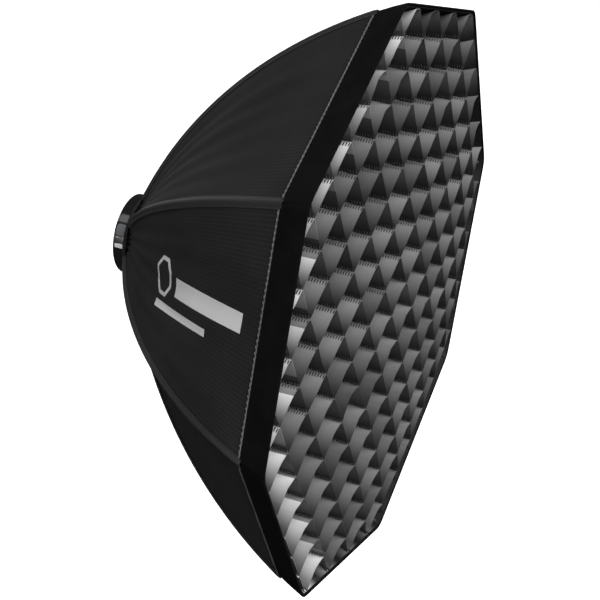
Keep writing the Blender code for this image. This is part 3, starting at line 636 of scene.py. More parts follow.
def loop_cloth(name, colour, tip_colour, roughness):
    """Matt loop cloth: a dense pile of fine loops that is dark, and a little lighter where it is
    brushed or seen at a slant, with specks of lint."""
    material, nodes, links = empty_material(name)
    output = nodes.new('ShaderNodeOutputMaterial')
    output.label = "pile surface"
    shader = nodes.new('ShaderNodeBsdfPrincipled')
    shader.label = "nylon loops"
    shader.inputs['Roughness'].default_value = roughness
    shader.inputs['Specular IOR Level'].default_value = 0.06
    shader.inputs['Sheen Weight'].default_value = 0.02
    shader.inputs['Sheen Roughness'].default_value = 0.5
    shader.inputs['Sheen Tint'].default_value = (0.5, 0.5, 0.5, 1.0)
    place = nodes.new('ShaderNodeTexCoord')
    place.label = "metres along the band"
    pile_frame = nodes.new('NodeFrame')
    pile_frame.label = "pile"
    pile = nodes.new('ShaderNodeTexVoronoi')
    pile.label = "loops"
    pile.inputs['Scale'].default_value = 900.0
    pile_relief = nodes.new('ShaderNodeBump')
    pile_relief.label = "loop relief"
    pile_relief.inputs['Strength'].default_value = 0.6
    pile_relief.inputs['Distance'].default_value = 0.0003
    brushed_frame = nodes.new('NodeFrame')
    brushed_frame.label = "brushed places and lint"
    brushed = nodes.new('ShaderNodeTexNoise')
    brushed.label = "brushed places"
    brushed.inputs['Scale'].default_value = 26.0
    brushed.inputs['Detail'].default_value = 5.0
    lay = nodes.new('ShaderNodeMapRange')
    lay.label = "how far the loops lie over"
    lay.inputs['From Min'].default_value = 0.35
    lay.inputs['From Max'].default_value = 0.75
    shade = nodes.new('ShaderNodeMix')
    shade.label = "base and tips of the loops"
    shade.data_type = 'RGBA'
    shade.inputs['A'].default_value = (*colour, 1.0)
    shade.inputs['B'].default_value = (*tip_colour, 1.0)
    lint = nodes.new('ShaderNodeTexNoise')
    lint.label = "lint"
    lint.inputs['Scale'].default_value = 420.0
    lint_share = nodes.new('ShaderNodeMapRange')
    lint_share.label = "specks of lint"
    lint_share.inputs['From Min'].default_value = 0.74
    lint_share.inputs['From Max'].default_value = 0.80
    lint_share.inputs['To Max'].default_value = 0.35
    specked = nodes.new('ShaderNodeMix')
    specked.label = "cloth with lint"
    specked.data_type = 'RGBA'
    specked.inputs['B'].default_value = (0.10, 0.10, 0.10, 1.0)
    for node in (pile, pile_relief):
        node.parent = pile_frame
    for node in (brushed, lay, shade, lint, lint_share, specked):
        node.parent = brushed_frame
    links.new(place.outputs['Object'], pile.inputs['Vector'])
    links.new(place.outputs['Object'], brushed.inputs['Vector'])
    links.new(place.outputs['Object'], lint.inputs['Vector'])
    links.new(pile.outputs['Distance'], pile_relief.inputs['Height'])
    links.new(brushed.outputs['Fac'], lay.inputs['Value'])
    links.new(lay.outputs['Result'], shade.inputs['Factor'])
    links.new(lint.outputs['Fac'], lint_share.inputs['Value'])
    links.new(shade.outputs['Result'], specked.inputs['A'])
    links.new(lint_share.outputs['Result'], specked.inputs['Factor'])
    links.new(specked.outputs['Result'], shader.inputs['Base Color'])
    links.new(pile_relief.outputs['Normal'], shader.inputs['Normal'])
    links.new(shader.outputs['BSDF'], output.inputs['Surface'])
    set_in_columns(((place,), (pile, brushed, lint), (pile_relief, lay), (shade, lint_share),
                    (specked,), (shader,), (output,)))
    return material


outer_depth = np.linspace(rim_back - 0.0005, front_depth - FOLD_RADIUS, OUTER_ROWS)
fold_turn = np.linspace(0, pi, 8)[1:-1]
inner_depth = np.linspace(front_depth - FOLD_RADIUS, rim_back + 0.002, INNER_ROWS)
band_depth = np.concatenate([outer_depth,
                             front_depth - FOLD_RADIUS + FOLD_RADIUS * np.sin(fold_turn),
                             inner_depth])
band_lift = np.concatenate([BAND_LIFT + 0.0004 * np.sin(pi * np.linspace(0, 1, OUTER_ROWS)),
                            BAND_LIFT - FOLD_RADIUS * (1 - np.cos(fold_turn)),
                            np.full(INNER_ROWS, BAND_LIFT - 2 * FOLD_RADIUS)])
band_apothem = skin_apothem(band_depth) + band_lift
half_side_length = band_apothem[0] * np.tan(HALF_SIDE)
band_across = round_the_sides(BAND_COLUMNS)
corner_gap = half_side_length * (1 - np.abs(band_across))
outer_share = (np.arange(len(band_depth)) < OUTER_ROWS + 2)[:, None]
soft = folds((len(band_depth), SIDES * BAND_COLUMNS), 7, count=16)
over_tape = 0.0009 * (1 - np.clip((corner_gap - 0.007) / 0.004, 0, 1)) ** 2
corner_seam = 0.0011 * np.exp(-(corner_gap / 0.0011) ** 2)
rear_pucker = 0.00035 * np.cos(2 * pi * half_side_length * band_across / 0.0085)
rear_pucker = rear_pucker * np.exp(-(band_depth - rim_back) / 0.006)[:, None]
band_relief = outer_share * (over_tape + rear_pucker + 0.00035 * soft - corner_seam)
rim_cloth = cloth_sheet("rim_loop_cloth",
                        eight_sided(band_depth, band_apothem, BAND_COLUMNS, band_relief),
                        BAND_CLOTH, closed=True)
matt_loops = loop_cloth("matt_loop_cloth", (0.003, 0.003, 0.003), (0.006, 0.006, 0.006), 0.9)
rim_cloth.data.materials.append(matt_loops)
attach(rim_cloth, "octabox")
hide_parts("rim_band")


# Piping: the seam between the shell and the rim band is bound with a folded bias strip, which
# puckers as it is sewn. A pale slanting stitch every seven or eight millimetres is a painted
# highlight, standing in for light on the puckers.
PIPING_RADIUS = 0.0016
PIPING_COLUMNS = 208
PIPING_CLOTH = 0.0003
PUCKER_PITCH = 0.0076
PUCKER_DEPTH = 0.00035
SLANT_LENGTH = 0.0048
SLANT_RADIUS = 0.00024
piping_turn = np.linspace(-0.42 * pi, 1.25 * pi, 11)
piping_depth = rim_back - 0.0012 - PIPING_RADIUS * np.cos(piping_turn)
piping_across = round_the_sides(PIPING_COLUMNS)
pucker = np.sin(2 * pi * half_side_length * piping_across / PUCKER_PITCH
                + 1.3 * piping_turn[:, None])
piping_points = eight_sided(piping_depth, skin_apothem(piping_depth) + 0.0004
                            + PIPING_RADIUS * np.sin(piping_turn), PIPING_COLUMNS,
                            PUCKER_DEPTH * pucker)
piping = cloth_sheet("rim_piping", piping_points[::-1], PIPING_CLOTH, closed=True,
                     inwards=False)
piping_cloth = woven_cloth("taupe_binding", (0.075, 0.068, 0.062), (0.11, 0.10, 0.092),
                           0.0012, 0.0003, 0.0005, 0.0001, 0.6, 0.2)
piping.data.materials.append(piping_cloth)
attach(piping, "octabox")

stitch_columns = np.arange(SIDES * PIPING_COLUMNS)[::5]
stitch_rows = piping_points[4:8]
down, over, out = surface_frame(stitch_rows)
slant = 0.87 * over + 0.5 * down
slanting = thread_run("rim_piping_painted_highlights", stitch_rows[1, stitch_columns],
                      slant[1, stitch_columns], out[1, stitch_columns], SLANT_LENGTH,
                        SLANT_RADIUS)
# Pale thread for the slanting stitches: painted highlights on the puckers.
painted_highlight_thread = sewing_thread("painted_highlight_thread", (0.30, 0.28, 0.26))
slanting.data.materials.append(painted_highlight_thread)
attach(slanting, "octabox")


# Hem: the shell's rear edge is gathered on to a ring of flat elastic in a folded collar, which
# sits round the ring in front of its socket flange.
COLLAR_COLUMNS = 320
COLLAR_CLOTH = 0.0006
SCALLOP = 0.0022                     # the collar reaches further forwards between the tapes
HEM_STITCHES = 118
HEM_STITCH_LENGTH = 0.0026
collar_back = -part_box("hem_elastic")[1].y
collar_turn = 2 * pi * np.arange(COLLAR_COLUMNS) / COLLAR_COLUMNS
collar_path = np.array([[0.0030, -0.0020], [0.0012, -0.0020], [0.0002, -0.0008],
                        [0.0, 0.0006], [0.0010, 0.0018], [0.0028, 0.0023], [0.0042, 0.0034],
                        [0.0058, 0.0062], [0.0076, 0.0098]])
collar_path = collar_path + np.array([collar_back, HEM_RADIUS])
ruffle = (0.00055 * np.cos(collar_turn * 104) + 0.0005 * np.cos(collar_turn * 61 + 1.0)
          + 0.0004 * np.cos(collar_turn * 23))
ruffle_share = np.array([0.1, 0.2, 0.5, 0.8, 1.0, 0.8, 0.6, 0.8, 1.2])
collar_radius = collar_path[:, 1][:, None] + ruffle_share[:, None] * ruffle[None, :]
scallop = SCALLOP * np.abs(np.sin(4 * (collar_turn + HALF_SIDE)))
collar_depth = (collar_path[:, 0][:, None]
                + np.linspace(0, 1, 9)[:, None] ** 3 * scallop[None, :])
collar = cloth_sheet("hem_collar",
                     np.stack([collar_radius * np.cos(collar_turn), -collar_depth,
                               collar_radius * np.sin(collar_turn)], axis=-1),
                     COLLAR_CLOTH, closed=True)
collar.data.materials.append(ripstop)
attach(collar, "octabox")
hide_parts("hem_elastic")

stitch_turn = 2 * pi * np.arange(HEM_STITCHES) / HEM_STITCHES
stitch_radius = HEM_RADIUS + 0.0030
collar_stitches = thread_run(
    "hem_stitches",
    np.stack([stitch_radius * np.cos(stitch_turn), np.full(HEM_STITCHES, -collar_back - 0.0029),
              stitch_radius * np.sin(stitch_turn)], axis=-1),
    np.stack([-np.sin(stitch_turn), 0 * stitch_turn, np.cos(stitch_turn)], axis=-1),
    np.stack([np.cos(stitch_turn), 0 * stitch_turn, np.sin(stitch_turn)], axis=-1),
    HEM_STITCH_LENGTH, THREAD_RADIUS)
collar_stitches.data.materials.append(black_thread)
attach(collar_stitches, "octabox")


# Speedring: a turned ring of glossy black plastic that carries the rod sockets and turns on the
# insert. A pocket in its side takes the thumb button, and fine grooves break up its edges.
RING_RADIUS = 0.067
RING_LENGTH = 0.038
CHAMFER = 0.0009
BUTTON_ANGLE = radians(167.0)
BUTTON_DEPTH = 0.0110
TURNED_CREASE = radians(28)          # edges that turn further than this stay sharp
PAD_CREASE = radians(40)


def hard_finish(name, colour, roughness, metallic=0.0, coat=0.0, grain=900.0, relief=0.00003,
                stretch=(1.0, 1.0, 1.0), variation=0.12, wear_and_painted_light_range=0.08):
    """A moulded, turned or drawn surface: fine grain, faint scratches, and a handled gloss."""
    material, nodes, links = empty_material(name)
    output = nodes.new('ShaderNodeOutputMaterial')
    output.label = "hard surface"
    shader = nodes.new('ShaderNodeBsdfPrincipled')
    shader.label = "body"
    shader.inputs['Metallic'].default_value = metallic
    shader.inputs['Coat Weight'].default_value = coat
    shader.inputs['Coat Roughness'].default_value = 0.06
    place = nodes.new('ShaderNodeTexCoord')
    place.label = "place on the part"
    grain_frame = nodes.new('NodeFrame')
    grain_frame.label = "grain and tool marks"
    drawn_out = nodes.new('ShaderNodeMapping')
    drawn_out.label = "direction of the marks"
    drawn_out.inputs['Scale'].default_value = stretch
    fine = nodes.new('ShaderNodeTexNoise')
    fine.label = "grain"
    fine.inputs['Scale'].default_value = grain
    fine.inputs['Detail'].default_value = 3.0
    fine_relief = nodes.new('ShaderNodeBump')
    fine_relief.label = "grain relief"
    fine_relief.inputs['Strength'].default_value = 0.4
    fine_relief.inputs['Distance'].default_value = relief
    wear_frame = nodes.new('NodeFrame')
    wear_frame.label = "handling and wear"
    smears = nodes.new('ShaderNodeTexNoise')
    smears.label = "smears"
    smears.inputs['Scale'].default_value = 45.0
    smears.inputs['Detail'].default_value = 5.0
    smears.inputs['Distortion'].default_value = 1.2
    gloss = nodes.new('ShaderNodeMapRange')
    gloss.label = "roughness"
    gloss.inputs['From Min'].default_value = 0.3
    gloss.inputs['From Max'].default_value = 0.7
    gloss.inputs['To Min'].default_value = max(0.03, roughness - wear_and_painted_light_range)
    gloss.inputs['To Max'].default_value = min(1.0, roughness + wear_and_painted_light_range)
    shade = nodes.new('ShaderNodeMix')
    shade.label = "uneven colour"
    shade.data_type = 'RGBA'
    shade.inputs['A'].default_value = (*((1 - variation) * part for part in colour), 1.0)
    shade.inputs['B'].default_value = (*(min(1.0, (1 + variation) * part) for part in colour), 1.0)
    for node in (drawn_out, fine, fine_relief):
        node.parent = grain_frame
    for node in (smears, gloss, shade):
        node.parent = wear_frame
    links.new(place.outputs['Object'], drawn_out.inputs['Vector'])
    links.new(drawn_out.outputs['Vector'], fine.inputs['Vector'])
    links.new(place.outputs['Object'], smears.inputs['Vector'])
    links.new(smears.outputs['Fac'], gloss.inputs['Value'])
    links.new(fine.outputs['Fac'], shade.inputs['Factor'])
    links.new(fine.outputs['Fac'], fine_relief.inputs['Height'])
    links.new(shade.outputs['Result'], shader.inputs['Base Color'])
    links.new(gloss.outputs['Result'], shader.inputs['Roughness'])
    links.new(fine_relief.outputs['Normal'], shader.inputs['Normal'])
    links.new(shader.outputs['BSDF'], output.inputs['Surface'])
    set_in_columns(((place,), (drawn_out, smears), (fine, gloss), (shade, fine_relief),
                    (shader,), (output,)))
    return material


def solid_part(name, shape, crease, smooth=True):
    """An object made from a built-up shape, with sharp edges where its faces turn far."""
    bmesh.ops.recalc_face_normals(shape, faces=shape.faces)
    mesh = bpy.data.meshes.new(name)
    shape.to_mesh(mesh)
    shape.free()
    if smooth:
        mesh.shade_smooth()
    mesh.set_sharp_from_angle(angle=crease)
    part = bpy.data.objects.new(name, mesh)
    bpy.context.scene.collection.objects.link(part)
    return part


def turned(name, profile, segments=192):
    """A part turned on the box's axis, from a closed profile of depths and radii."""
    shape = bmesh.new()
    rings = []
    for depth, radius in profile:
        rings.append([shape.verts.new((radius * cos(2 * pi * step / segments), -depth,
                                       radius * sin(2 * pi * step / segments)))
                      for step in range(segments)])
    for first, second in zip(rings, rings[1:] + rings[:1]):
        for step in range(segments):
            after = (step + 1) % segments
            shape.faces.new((first[step], first[after], second[after], second[step]))
    return solid_part(name, shape, TURNED_CREASE)


def ring_place(angle, depth, radius):
    """A place on the ring, given by its angle from +X over the top, its depth and radius."""
    return Vector((radius * cos(angle), -depth, radius * sin(angle)))


def curved_block(name, angle, depth, radius, width, length, height, corner, columns=14,
                 rows=12, crown=0.0):
    """A pad with rounded corners that is bent round the ring. Its top is at the radius, width
    goes round the ring, length along the axis, and it goes height down."""
    u = np.linspace(-1, 1, columns)
    v = np.linspace(-1, 1, rows)
    power = 5.0
    shape = bmesh.new()
    layers = []
    for level, inset in ((-height, 0.0), (-corner * 0.4, 0.0), (-corner * 0.12, corner * 0.12),
                         (0.0, corner * 0.4)):
        layer = []
        for b in v:
            row = []
            for a in u:
                square = max(abs(a), abs(b))
                round_off = (abs(a) ** power + abs(b) ** power) ** (1 / power) or 1.0
                a2, b2 = a * square / round_off, b * square / round_off
                dome = crown * (1 - a2 * a2) * (1 - b2 * b2) if level == 0.0 else 0.0
                place = angle + a2 * (width / 2 - inset) / radius
                row.append(shape.verts.new(ring_place(place, depth + b2 * (length / 2 - inset),
                                                      radius + level + dome)))
            layer.append(row)
        layers.append(layer)
    edge = ([(0, k) for k in range(columns - 1)] + [(k, columns - 1) for k in range(rows - 1)]
            + [(rows - 1, k) for k in range(columns - 1, 0, -1)]
            + [(k, 0) for k in range(rows - 1, 0, -1)])
    for low, high in zip(layers, layers[1:]):
        for (r1, c1), (r2, c2) in zip(edge, edge[1:] + edge[:1]):
            shape.faces.new((low[r1][c1], low[r2][c2], high[r2][c2], high[r1][c1]))
    for layer in (layers[0], layers[-1]):
        for r in range(rows - 1):
            for c in range(columns - 1):
                shape.faces.new((layer[r][c], layer[r][c + 1], layer[r + 1][c + 1],
                                 layer[r + 1][c]))
    inner = [vert for layer in layers[1:-1] for r, row in enumerate(layer)
             for c, vert in enumerate(row) if 0 < r < rows - 1 and 0 < c < columns - 1]
    bmesh.ops.delete(shape, geom=inner, context='VERTS')
    return solid_part(name, shape, PAD_CREASE)


BACK_STEP = 0.0604
FRONT_STEP = 0.0594
CARRIER_BORE = 0.0553
ring_profile = [(0.0043, CARRIER_BORE), (0.0043, BACK_STEP), (0.0, BACK_STEP),
                (0.0, RING_RADIUS - CHAMFER), (0.0003, RING_RADIUS - 0.0004),
                (CHAMFER, RING_RADIUS), (0.0031, RING_RADIUS), (0.0034, RING_RADIUS - 0.0005),
                (0.0042, RING_RADIUS - 0.0005), (0.0045, RING_RADIUS),
                (0.0192, RING_RADIUS), (0.0196, RING_RADIUS - 0.0007),
                (0.0240, RING_RADIUS - 0.0007), (0.0244, RING_RADIUS),
                (RING_LENGTH - CHAMFER, RING_RADIUS), (RING_LENGTH, RING_RADIUS - CHAMFER),
                (RING_LENGTH, FRONT_STEP), (0.0340, FRONT_STEP), (0.0340, CARRIER_BORE)]
speedring = turned("speedring", ring_profile)
pocket = curved_block("button_pocket", BUTTON_ANGLE, BUTTON_DEPTH, RING_RADIUS + 0.004, 0.0225,
                      0.0174, 0.0088, 0.0004)
cut = speedring.modifiers.new("button pocket", 'BOOLEAN')
cut.object = pocket
cut.solver = 'EXACT'
bpy.context.view_layer.update()
cut_mesh = bpy.data.meshes.new_from_object(
    speedring.evaluated_get(bpy.context.evaluated_depsgraph_get()))
speedring.modifiers.clear()
speedring.data = cut_mesh
bpy.data.objects.remove(pocket)
speedring.data.set_sharp_from_angle(angle=TURNED_CREASE)
gloss_black = hard_finish("gloss_black_plastic", (0.011, 0.011, 0.012), 0.14, coat=0.6,
                          grain=300.0, relief=0.00001, wear_and_painted_light_range=0.05)
speedring.data.materials.clear()
speedring.data.materials.append(gloss_black)
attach(speedring, "octabox")
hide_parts("carrier_ring")


# Thumb button: a grey pad of soft plastic with three raised grips, in the ring's side. Pressed
# inwards it frees the ring to turn.
GRIP_SPACING = 0.0042
pad_grey = hard_finish("pad_grey_plastic", (0.115, 0.118, 0.122), 0.55, grain=1400.0,
                       relief=0.00006, wear_and_painted_light_range=0.1)
button = curved_block("thumb_button", BUTTON_ANGLE, BUTTON_DEPTH, RING_RADIUS + 0.0006, 0.0200,
                      0.0166, 0.0030, 0.0022, crown=0.0003)
button.data.materials.append(pad_grey)
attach(button, "lock_button")
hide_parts("lock_button")
for count in (1, 2, 3):
    grip_depth = BUTTON_DEPTH + (count - 2) * GRIP_SPACING
    grip = curved_block(f"button_grip_{count}", BUTTON_ANGLE, grip_depth, RING_RADIUS + 0.0014,
                        0.0130, 0.0013, 0.0010, 0.0006, columns=10, rows=6)
    grip.data.materials.append(pad_grey)
    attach(grip, "lock_button")


# Index marks: a printed white bar and a short tick on the ring, so that the box can be set
# square to the lamp. They are thin printed films and carry no lettering.
print_white = hard_finish("print_white", (0.80, 0.80, 0.79), 0.5, grain=700.0, variation=0.05)
for name, angle, depth, width, length in (("index_bar", 190.0, 0.0118, 0.0075, 0.0165),
                                          ("index_tick", 178.0, 0.0070, 0.0010, 0.0050),
                                          ("rear_tick", 262.0, 0.0070, 0.0010, 0.0050)):
    mark = curved_block(name, radians(angle), depth, RING_RADIUS + 0.00012, width, length,
                        0.00030, 0.0002)
    mark.data.materials.append(print_white)
    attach(mark, "octabox")


# Insert, liner and retaining ring: the insert slides on the lamp head on its ribbed rubber
# liner, and the retaining ring with four small screws keeps the turning ring on it.
turned_metal = hard_finish("turned_aluminium_metal", (0.60, 0.61, 0.62), 0.30, metallic=1.0,
                           grain=240.0, relief=0.00002, stretch=(1.0, 14.0, 1.0))
zinc = hard_finish("zinc_plated_steel", (0.48, 0.48, 0.50), 0.34, metallic=1.0, grain=1200.0)
rubber = hard_finish("black_rubber", (0.018, 0.018, 0.018), 0.75, grain=1500.0, relief=0.00008)

insert_profile = [(0.0005, 0.0505), (0.0, 0.0510), (0.0, 0.0592), (0.0008, 0.0600),
                  (0.0034, 0.0600), (0.0040, 0.0594), (0.0040, 0.0554), (0.0046, 0.0550),
                  (0.0120, 0.0550), (0.0123, 0.0547), (0.0130, 0.0547), (0.0133, 0.0550),
                  (0.0337, 0.0550), (0.0340, 0.0547), (0.0340, 0.0508), (0.0337, 0.0505)]
insert = turned("insert_sleeve", insert_profile)
insert.data.materials.append(turned_metal)
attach(insert, "head_adapter")
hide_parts("insert_ring")

liner_profile = [(0.0020, 0.0502), (0.0020, 0.0488)]
for rib in range(10):
    rib_start = 0.0024 + rib * 0.0029
    liner_profile += [(rib_start, 0.0488), (rib_start + 0.0004, 0.0480),
                      (rib_start + 0.0018, 0.0480), (rib_start + 0.0022, 0.0488)]
liner_profile += [(0.0320, 0.0488), (0.0320, 0.0502)]
liner = turned("ribbed_liner", liner_profile, segments=144)
liner.data.materials.append(rubber)
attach(liner, "head_adapter")
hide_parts("grip_liner")

retainer_profile = [(0.0343, 0.0508), (0.0346, 0.0505), (0.0370, 0.0505), (0.0373, 0.0508),
                    (0.0373, 0.0585), (0.0368, 0.0590), (0.0348, 0.0590), (0.0343, 0.0585)]
retainer = turned("retaining_ring_turned", retainer_profile)
retainer.data.materials.append(turned_metal)
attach(retainer, "head_adapter")
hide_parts("retaining_ring")

SCREWS = 4
HEX_KEY = 0.0011                     # radius of the hexagon socket in a screw's head
SCREW_POINTS = 24
SCREW_PROFILE = ((0.0386, HEX_KEY), (0.03925, HEX_KEY), (0.0392, 0.0018), (0.0389, 0.0020),
                 (0.0376, 0.0020))
for number in range(1, SCREWS + 1):
    low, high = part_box(f"retainer_screw_{number}")
    middle = (low + high) / 2
    screw = bmesh.new()
    screw_rings = []
    for depth, radius in SCREW_PROFILE:
        screw_ring = []
        for step in range(SCREW_POINTS):
            turn = 2 * pi * step / SCREW_POINTS
            flat = cos(pi / 6) / cos((step % 4 - 2) * pi / 12) if radius == HEX_KEY else 1.0
            screw_ring.append(screw.verts.new((middle.x + radius * flat * cos(turn), -depth,
                                               middle.z + radius * flat * sin(turn))))
        screw_rings.append(screw_ring)
    for first, second in zip(screw_rings, screw_rings[1:]):
        for step in range(SCREW_POINTS):
            after = (step + 1) % SCREW_POINTS
            screw.faces.new((first[step], first[after], second[after], second[step]))
    screw.faces.new(screw_rings[0])
    screw.faces.new(screw_rings[-1])
    head = solid_part(f"screw_head_{number}", screw, TURNED_CREASE, smooth=False)
    head.data.materials.append(zinc)
    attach(head, "head_adapter")
    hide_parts(f"retainer_screw_{number}")


# Rods, sockets and tips: each glass-fibre rod is glued in a steel ferrule on the ring, bows out
# under the cloth, and ends in a ball-nosed plastic cap in the rim's corner.
fibre = hard_finish("black_glass_fibre", (0.020, 0.020, 0.021), 0.38, grain=500.0,
                    relief=0.00004, stretch=(6.0, 1.0, 6.0))
cap_plastic = hard_finish("tip_cap_plastic", (0.028, 0.028, 0.028), 0.5, grain=1300.0,
                          relief=0.00005)
for number in range(1, SIDES + 1):
    for node, material in ((f"rod_{number}", fibre), (f"rod_socket_{number}", zinc),
                           (f"rod_tip_{number}", cap_plastic)):
        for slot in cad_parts[node].material_slots:
            slot.material = material


# Inner baffle: a smaller white cloth half way in, that spreads the lamp's bright middle. It has
# an elastic tab at each rod.
BAFFLE_REACH = 0.257
WHITE_CLOTH = 0.0004
TAB_CLOTH = 0.0009
TAB_HALF = 0.0115
TAB_LAP = 0.022                      # of a tab over the baffle
TAB_GAP = 0.016                      # from a tab's end to the seam
baffle_low, baffle_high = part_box("inner_baffle")
baffle_depth = -(baffle_low.y + baffle_high.y) / 2


def stretched_octagon(depth, reach, edge_dip, waves, seed, rows, columns):
    """A cloth held at its eight corners or edges. Its edges dip in between the corners, and soft
    waves run from corner to corner. Rows go from near its middle to its edge."""
    share = np.linspace(0.0008, 1, rows)[:, None]
    across = round_the_sides(columns)[None, :]
    side_angle = np.repeat(np.arange(SIDES) * 2 * HALF_SIDE, columns)[None, :]
    apothem = reach * cos(HALF_SIDE)
    outwards = share * (apothem - edge_dip * (1 - across ** 2))
    along = share * apothem * np.tan(HALF_SIDE) * across
    ripple = folds((rows, SIDES * columns), seed, count=14)
    ripple = (ripple + ripple[:, ::-1]) / 2
    pull = np.cos(5 * pi * across) * np.exp(-((1 - np.abs(across)) * 2.5) ** 2) * share ** 4
    forward = waves * (ripple * share * (1 - share ** 6) * 1.2 + 0.6 * pull)
    x = outwards * np.cos(side_angle) - along * np.sin(side_angle)
    z = outwards * np.sin(side_angle) + along * np.cos(side_angle)
    return np.stack([x, -depth - forward, z], axis=-1)


white_cloth = woven_cloth("white_diffusion_cloth", (0.80, 0.80, 0.79), (0.86, 0.86, 0.85),
                          0.0022, 0.0003, 0.0005, 0.00007, 0.7, 0.1, variation=0.03,
                          see_through=0.75)
baffle_points = stretched_octagon(baffle_depth, BAFFLE_REACH, 0.008, 0.0012, 5, 40, 24)
baffle = cloth_sheet("baffle_cloth", baffle_points, WHITE_CLOTH, closed=True)
baffle.data.materials.append(white_cloth)
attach(baffle, "baffle")
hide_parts("inner_baffle")

for number in range(1, SIDES + 1):
    angle = (2 * number - 1) * HALF_SIDE
    reach_end = float(seam_radius(slope_at(baffle_depth))) - TAB_GAP
    run = np.linspace(BAFFLE_REACH - TAB_LAP, reach_end, 12)
    tab_across = np.linspace(-TAB_HALF, TAB_HALF, 9)
    tab_r, tab_s = np.meshgrid(run, tab_across, indexing='ij')
    curl = 0.0016 * np.exp(-((tab_r - run[0]) / 0.004) ** 2) + 0.0010
    tab_share = (tab_r - run[0]) / (run[-1] - run[0])
    curl = curl + 0.0005 * np.sin(2 * pi * tab_s / 0.011) * np.sin(pi * tab_share)
    tab_points = np.stack([tab_r * cos(angle) - tab_s * sin(angle), -baffle_depth - curl,
                           tab_r * sin(angle) + tab_s * cos(angle)], axis=-1)
    tab = cloth_sheet(f"baffle_tab_{number}", tab_points, TAB_CLOTH)
    tab.data.materials.append(white_cloth)
    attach(tab, "baffle")


# Front diffuser: a white cloth over the whole front, sewn into a black edge band of hook and
# loop tape that grips the inner face of the rim.
diffuser_low, diffuser_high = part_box("front_diffuser")
diffuser_depth = -(diffuser_low.y + diffuser_high.y) / 2
edge_low, edge_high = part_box("diffuser_border")
edge_back, edge_front = -edge_high.y, -edge_low.y
EDGE_CLOTH = 0.0010
EDGE_COLUMNS = 60                    # points along one side of an edge band
EDGE_SINK = 0.0004
diffuser_points = stretched_octagon(diffuser_depth,
                                    (diffuser_high.z - 0.0005) / cos(HALF_SIDE), 0.0,
                                    0.0009, 31, 48, 30)
diffuser = cloth_sheet("front_diffusion_cloth", diffuser_points, WHITE_CLOTH, closed=True)
diffuser.data.materials.append(white_cloth)
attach(diffuser, "diffuser")
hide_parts("front_diffuser")

hook_tape = loop_cloth("black_hook_tape", (0.014, 0.014, 0.014), (0.026, 0.026, 0.026), 0.75)
edge_rows = np.array([0.0, 0.0004, 0.3, 0.7, 0.9996, 1.0])
edge_row_depth = edge_back + 0.0006 + (edge_front - edge_back - 0.0012) * edge_rows
edge_wave = 0.0002 * folds((len(edge_rows), SIDES * EDGE_COLUMNS), 77, count=20)
edge_rise = skin_apothem(edge_row_depth) - (skin_apothem(edge_front) - edge_high.z) - EDGE_SINK
edge_band = cloth_sheet("diffuser_edge_band",
                        eight_sided(edge_row_depth, edge_rise, EDGE_COLUMNS, edge_wave),
                        EDGE_CLOTH, closed=True)
edge_band.data.materials.append(hook_tape)
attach(edge_band, "diffuser")
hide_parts("diffuser_border")


# Cloth grid: twenty zig-zag strips of black coated nylon, each sewn to the next at every peak,
# so that they open into lozenge cells. The slack in them rounds the walls and creases some.
# Their colour carries painted light: pale on the peaks, painted shade in the valleys, and paler
# near the left edges.
CELL_WIDTH = 0.0982
CELL_HEIGHT = 0.0946
LATTICE_X = 0.0224                   # of the middle cell from the axis
LATTICE_Z = -0.0226
STRIP_DEPTH = 0.040
STRIP_CLOTH = 0.0004
STRIPS = 20
STEPS = 18                           # points along one wall
STRIP_ROWS = 8
PEAK_BEND = 0.72                     # how flat a wall gets at its peak
BEND_SHARE = 0.16                    # the share of the wall over which it bends
SEAM_GAP = 0.0005
WALL_SLACK = 0.0012                  # usual push of a slack wall
DEEP_CREASE = (0.008, 0.012)         # least and most depth of a crease in a loose wall
FINE_CREASE = (0.0, 0.0015)          # and in a tight one
CREASE_TOP = (0.56, 0.68)            # how far up the wall a crease is deepest
PEAK_LIGHT_RANGE = (0.6, 1.0)                  # how strong the painted light at a peak is, from valley to peak
TOP_ROWS = 0.20                      # strips above this height have loose walls here and there
FEW_LOOSE = (0.6, 0.4)               # the chances that such a wall is tight or loose
BELLY_REACH = 0.46
RIM_TAPER = 0.0172                   # the rim is this much narrower behind a strip than before it
grid_low, grid_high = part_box("grid_lattice")
grid_front = -grid_low.y
grid_apothem = grid_high.z - 0.0006
grid_draw = np.random.default_rng(11)

# The nylon's colour carries painted light and shade along each folded wall.
grid_nylon = woven_cloth("coated_black_nylon", (0.125, 0.125, 0.127), (0.14, 0.14, 0.142),
                         0.0020, 0.0002, 0.0004, 0.00005, 0.44, 0.0, variation=0.10, shine=0.35,
                         painted_peak_light=True)
# A paler copy of the grid nylon, put on faces near the left edges as painted light.
painted_light_nylon = woven_cloth("painted_light_pale_nylon", (0.44, 0.44, 0.44), (0.47, 0.47, 0.47),
                          0.0020, 0.0002, 0.0004, 0.00005, 0.40, 0.0, variation=0.12, shine=0.6,
                          painted_peak_light=True)
PAINTED_LIGHT_MARGIN = 0.058                  # this far in from the left edges the cloth is painted paler, as painted light
PAINTED_LIGHT_SIDE = -0.12                    # the left edges are those beyond this place on X


def octagon_gap(x, z):
    """How far a point is inside the grid's edge."""
    x, z = np.abs(x), np.abs(z)
    return grid_apothem - np.maximum(np.maximum(x, z), (x + z) / sqrt(2))


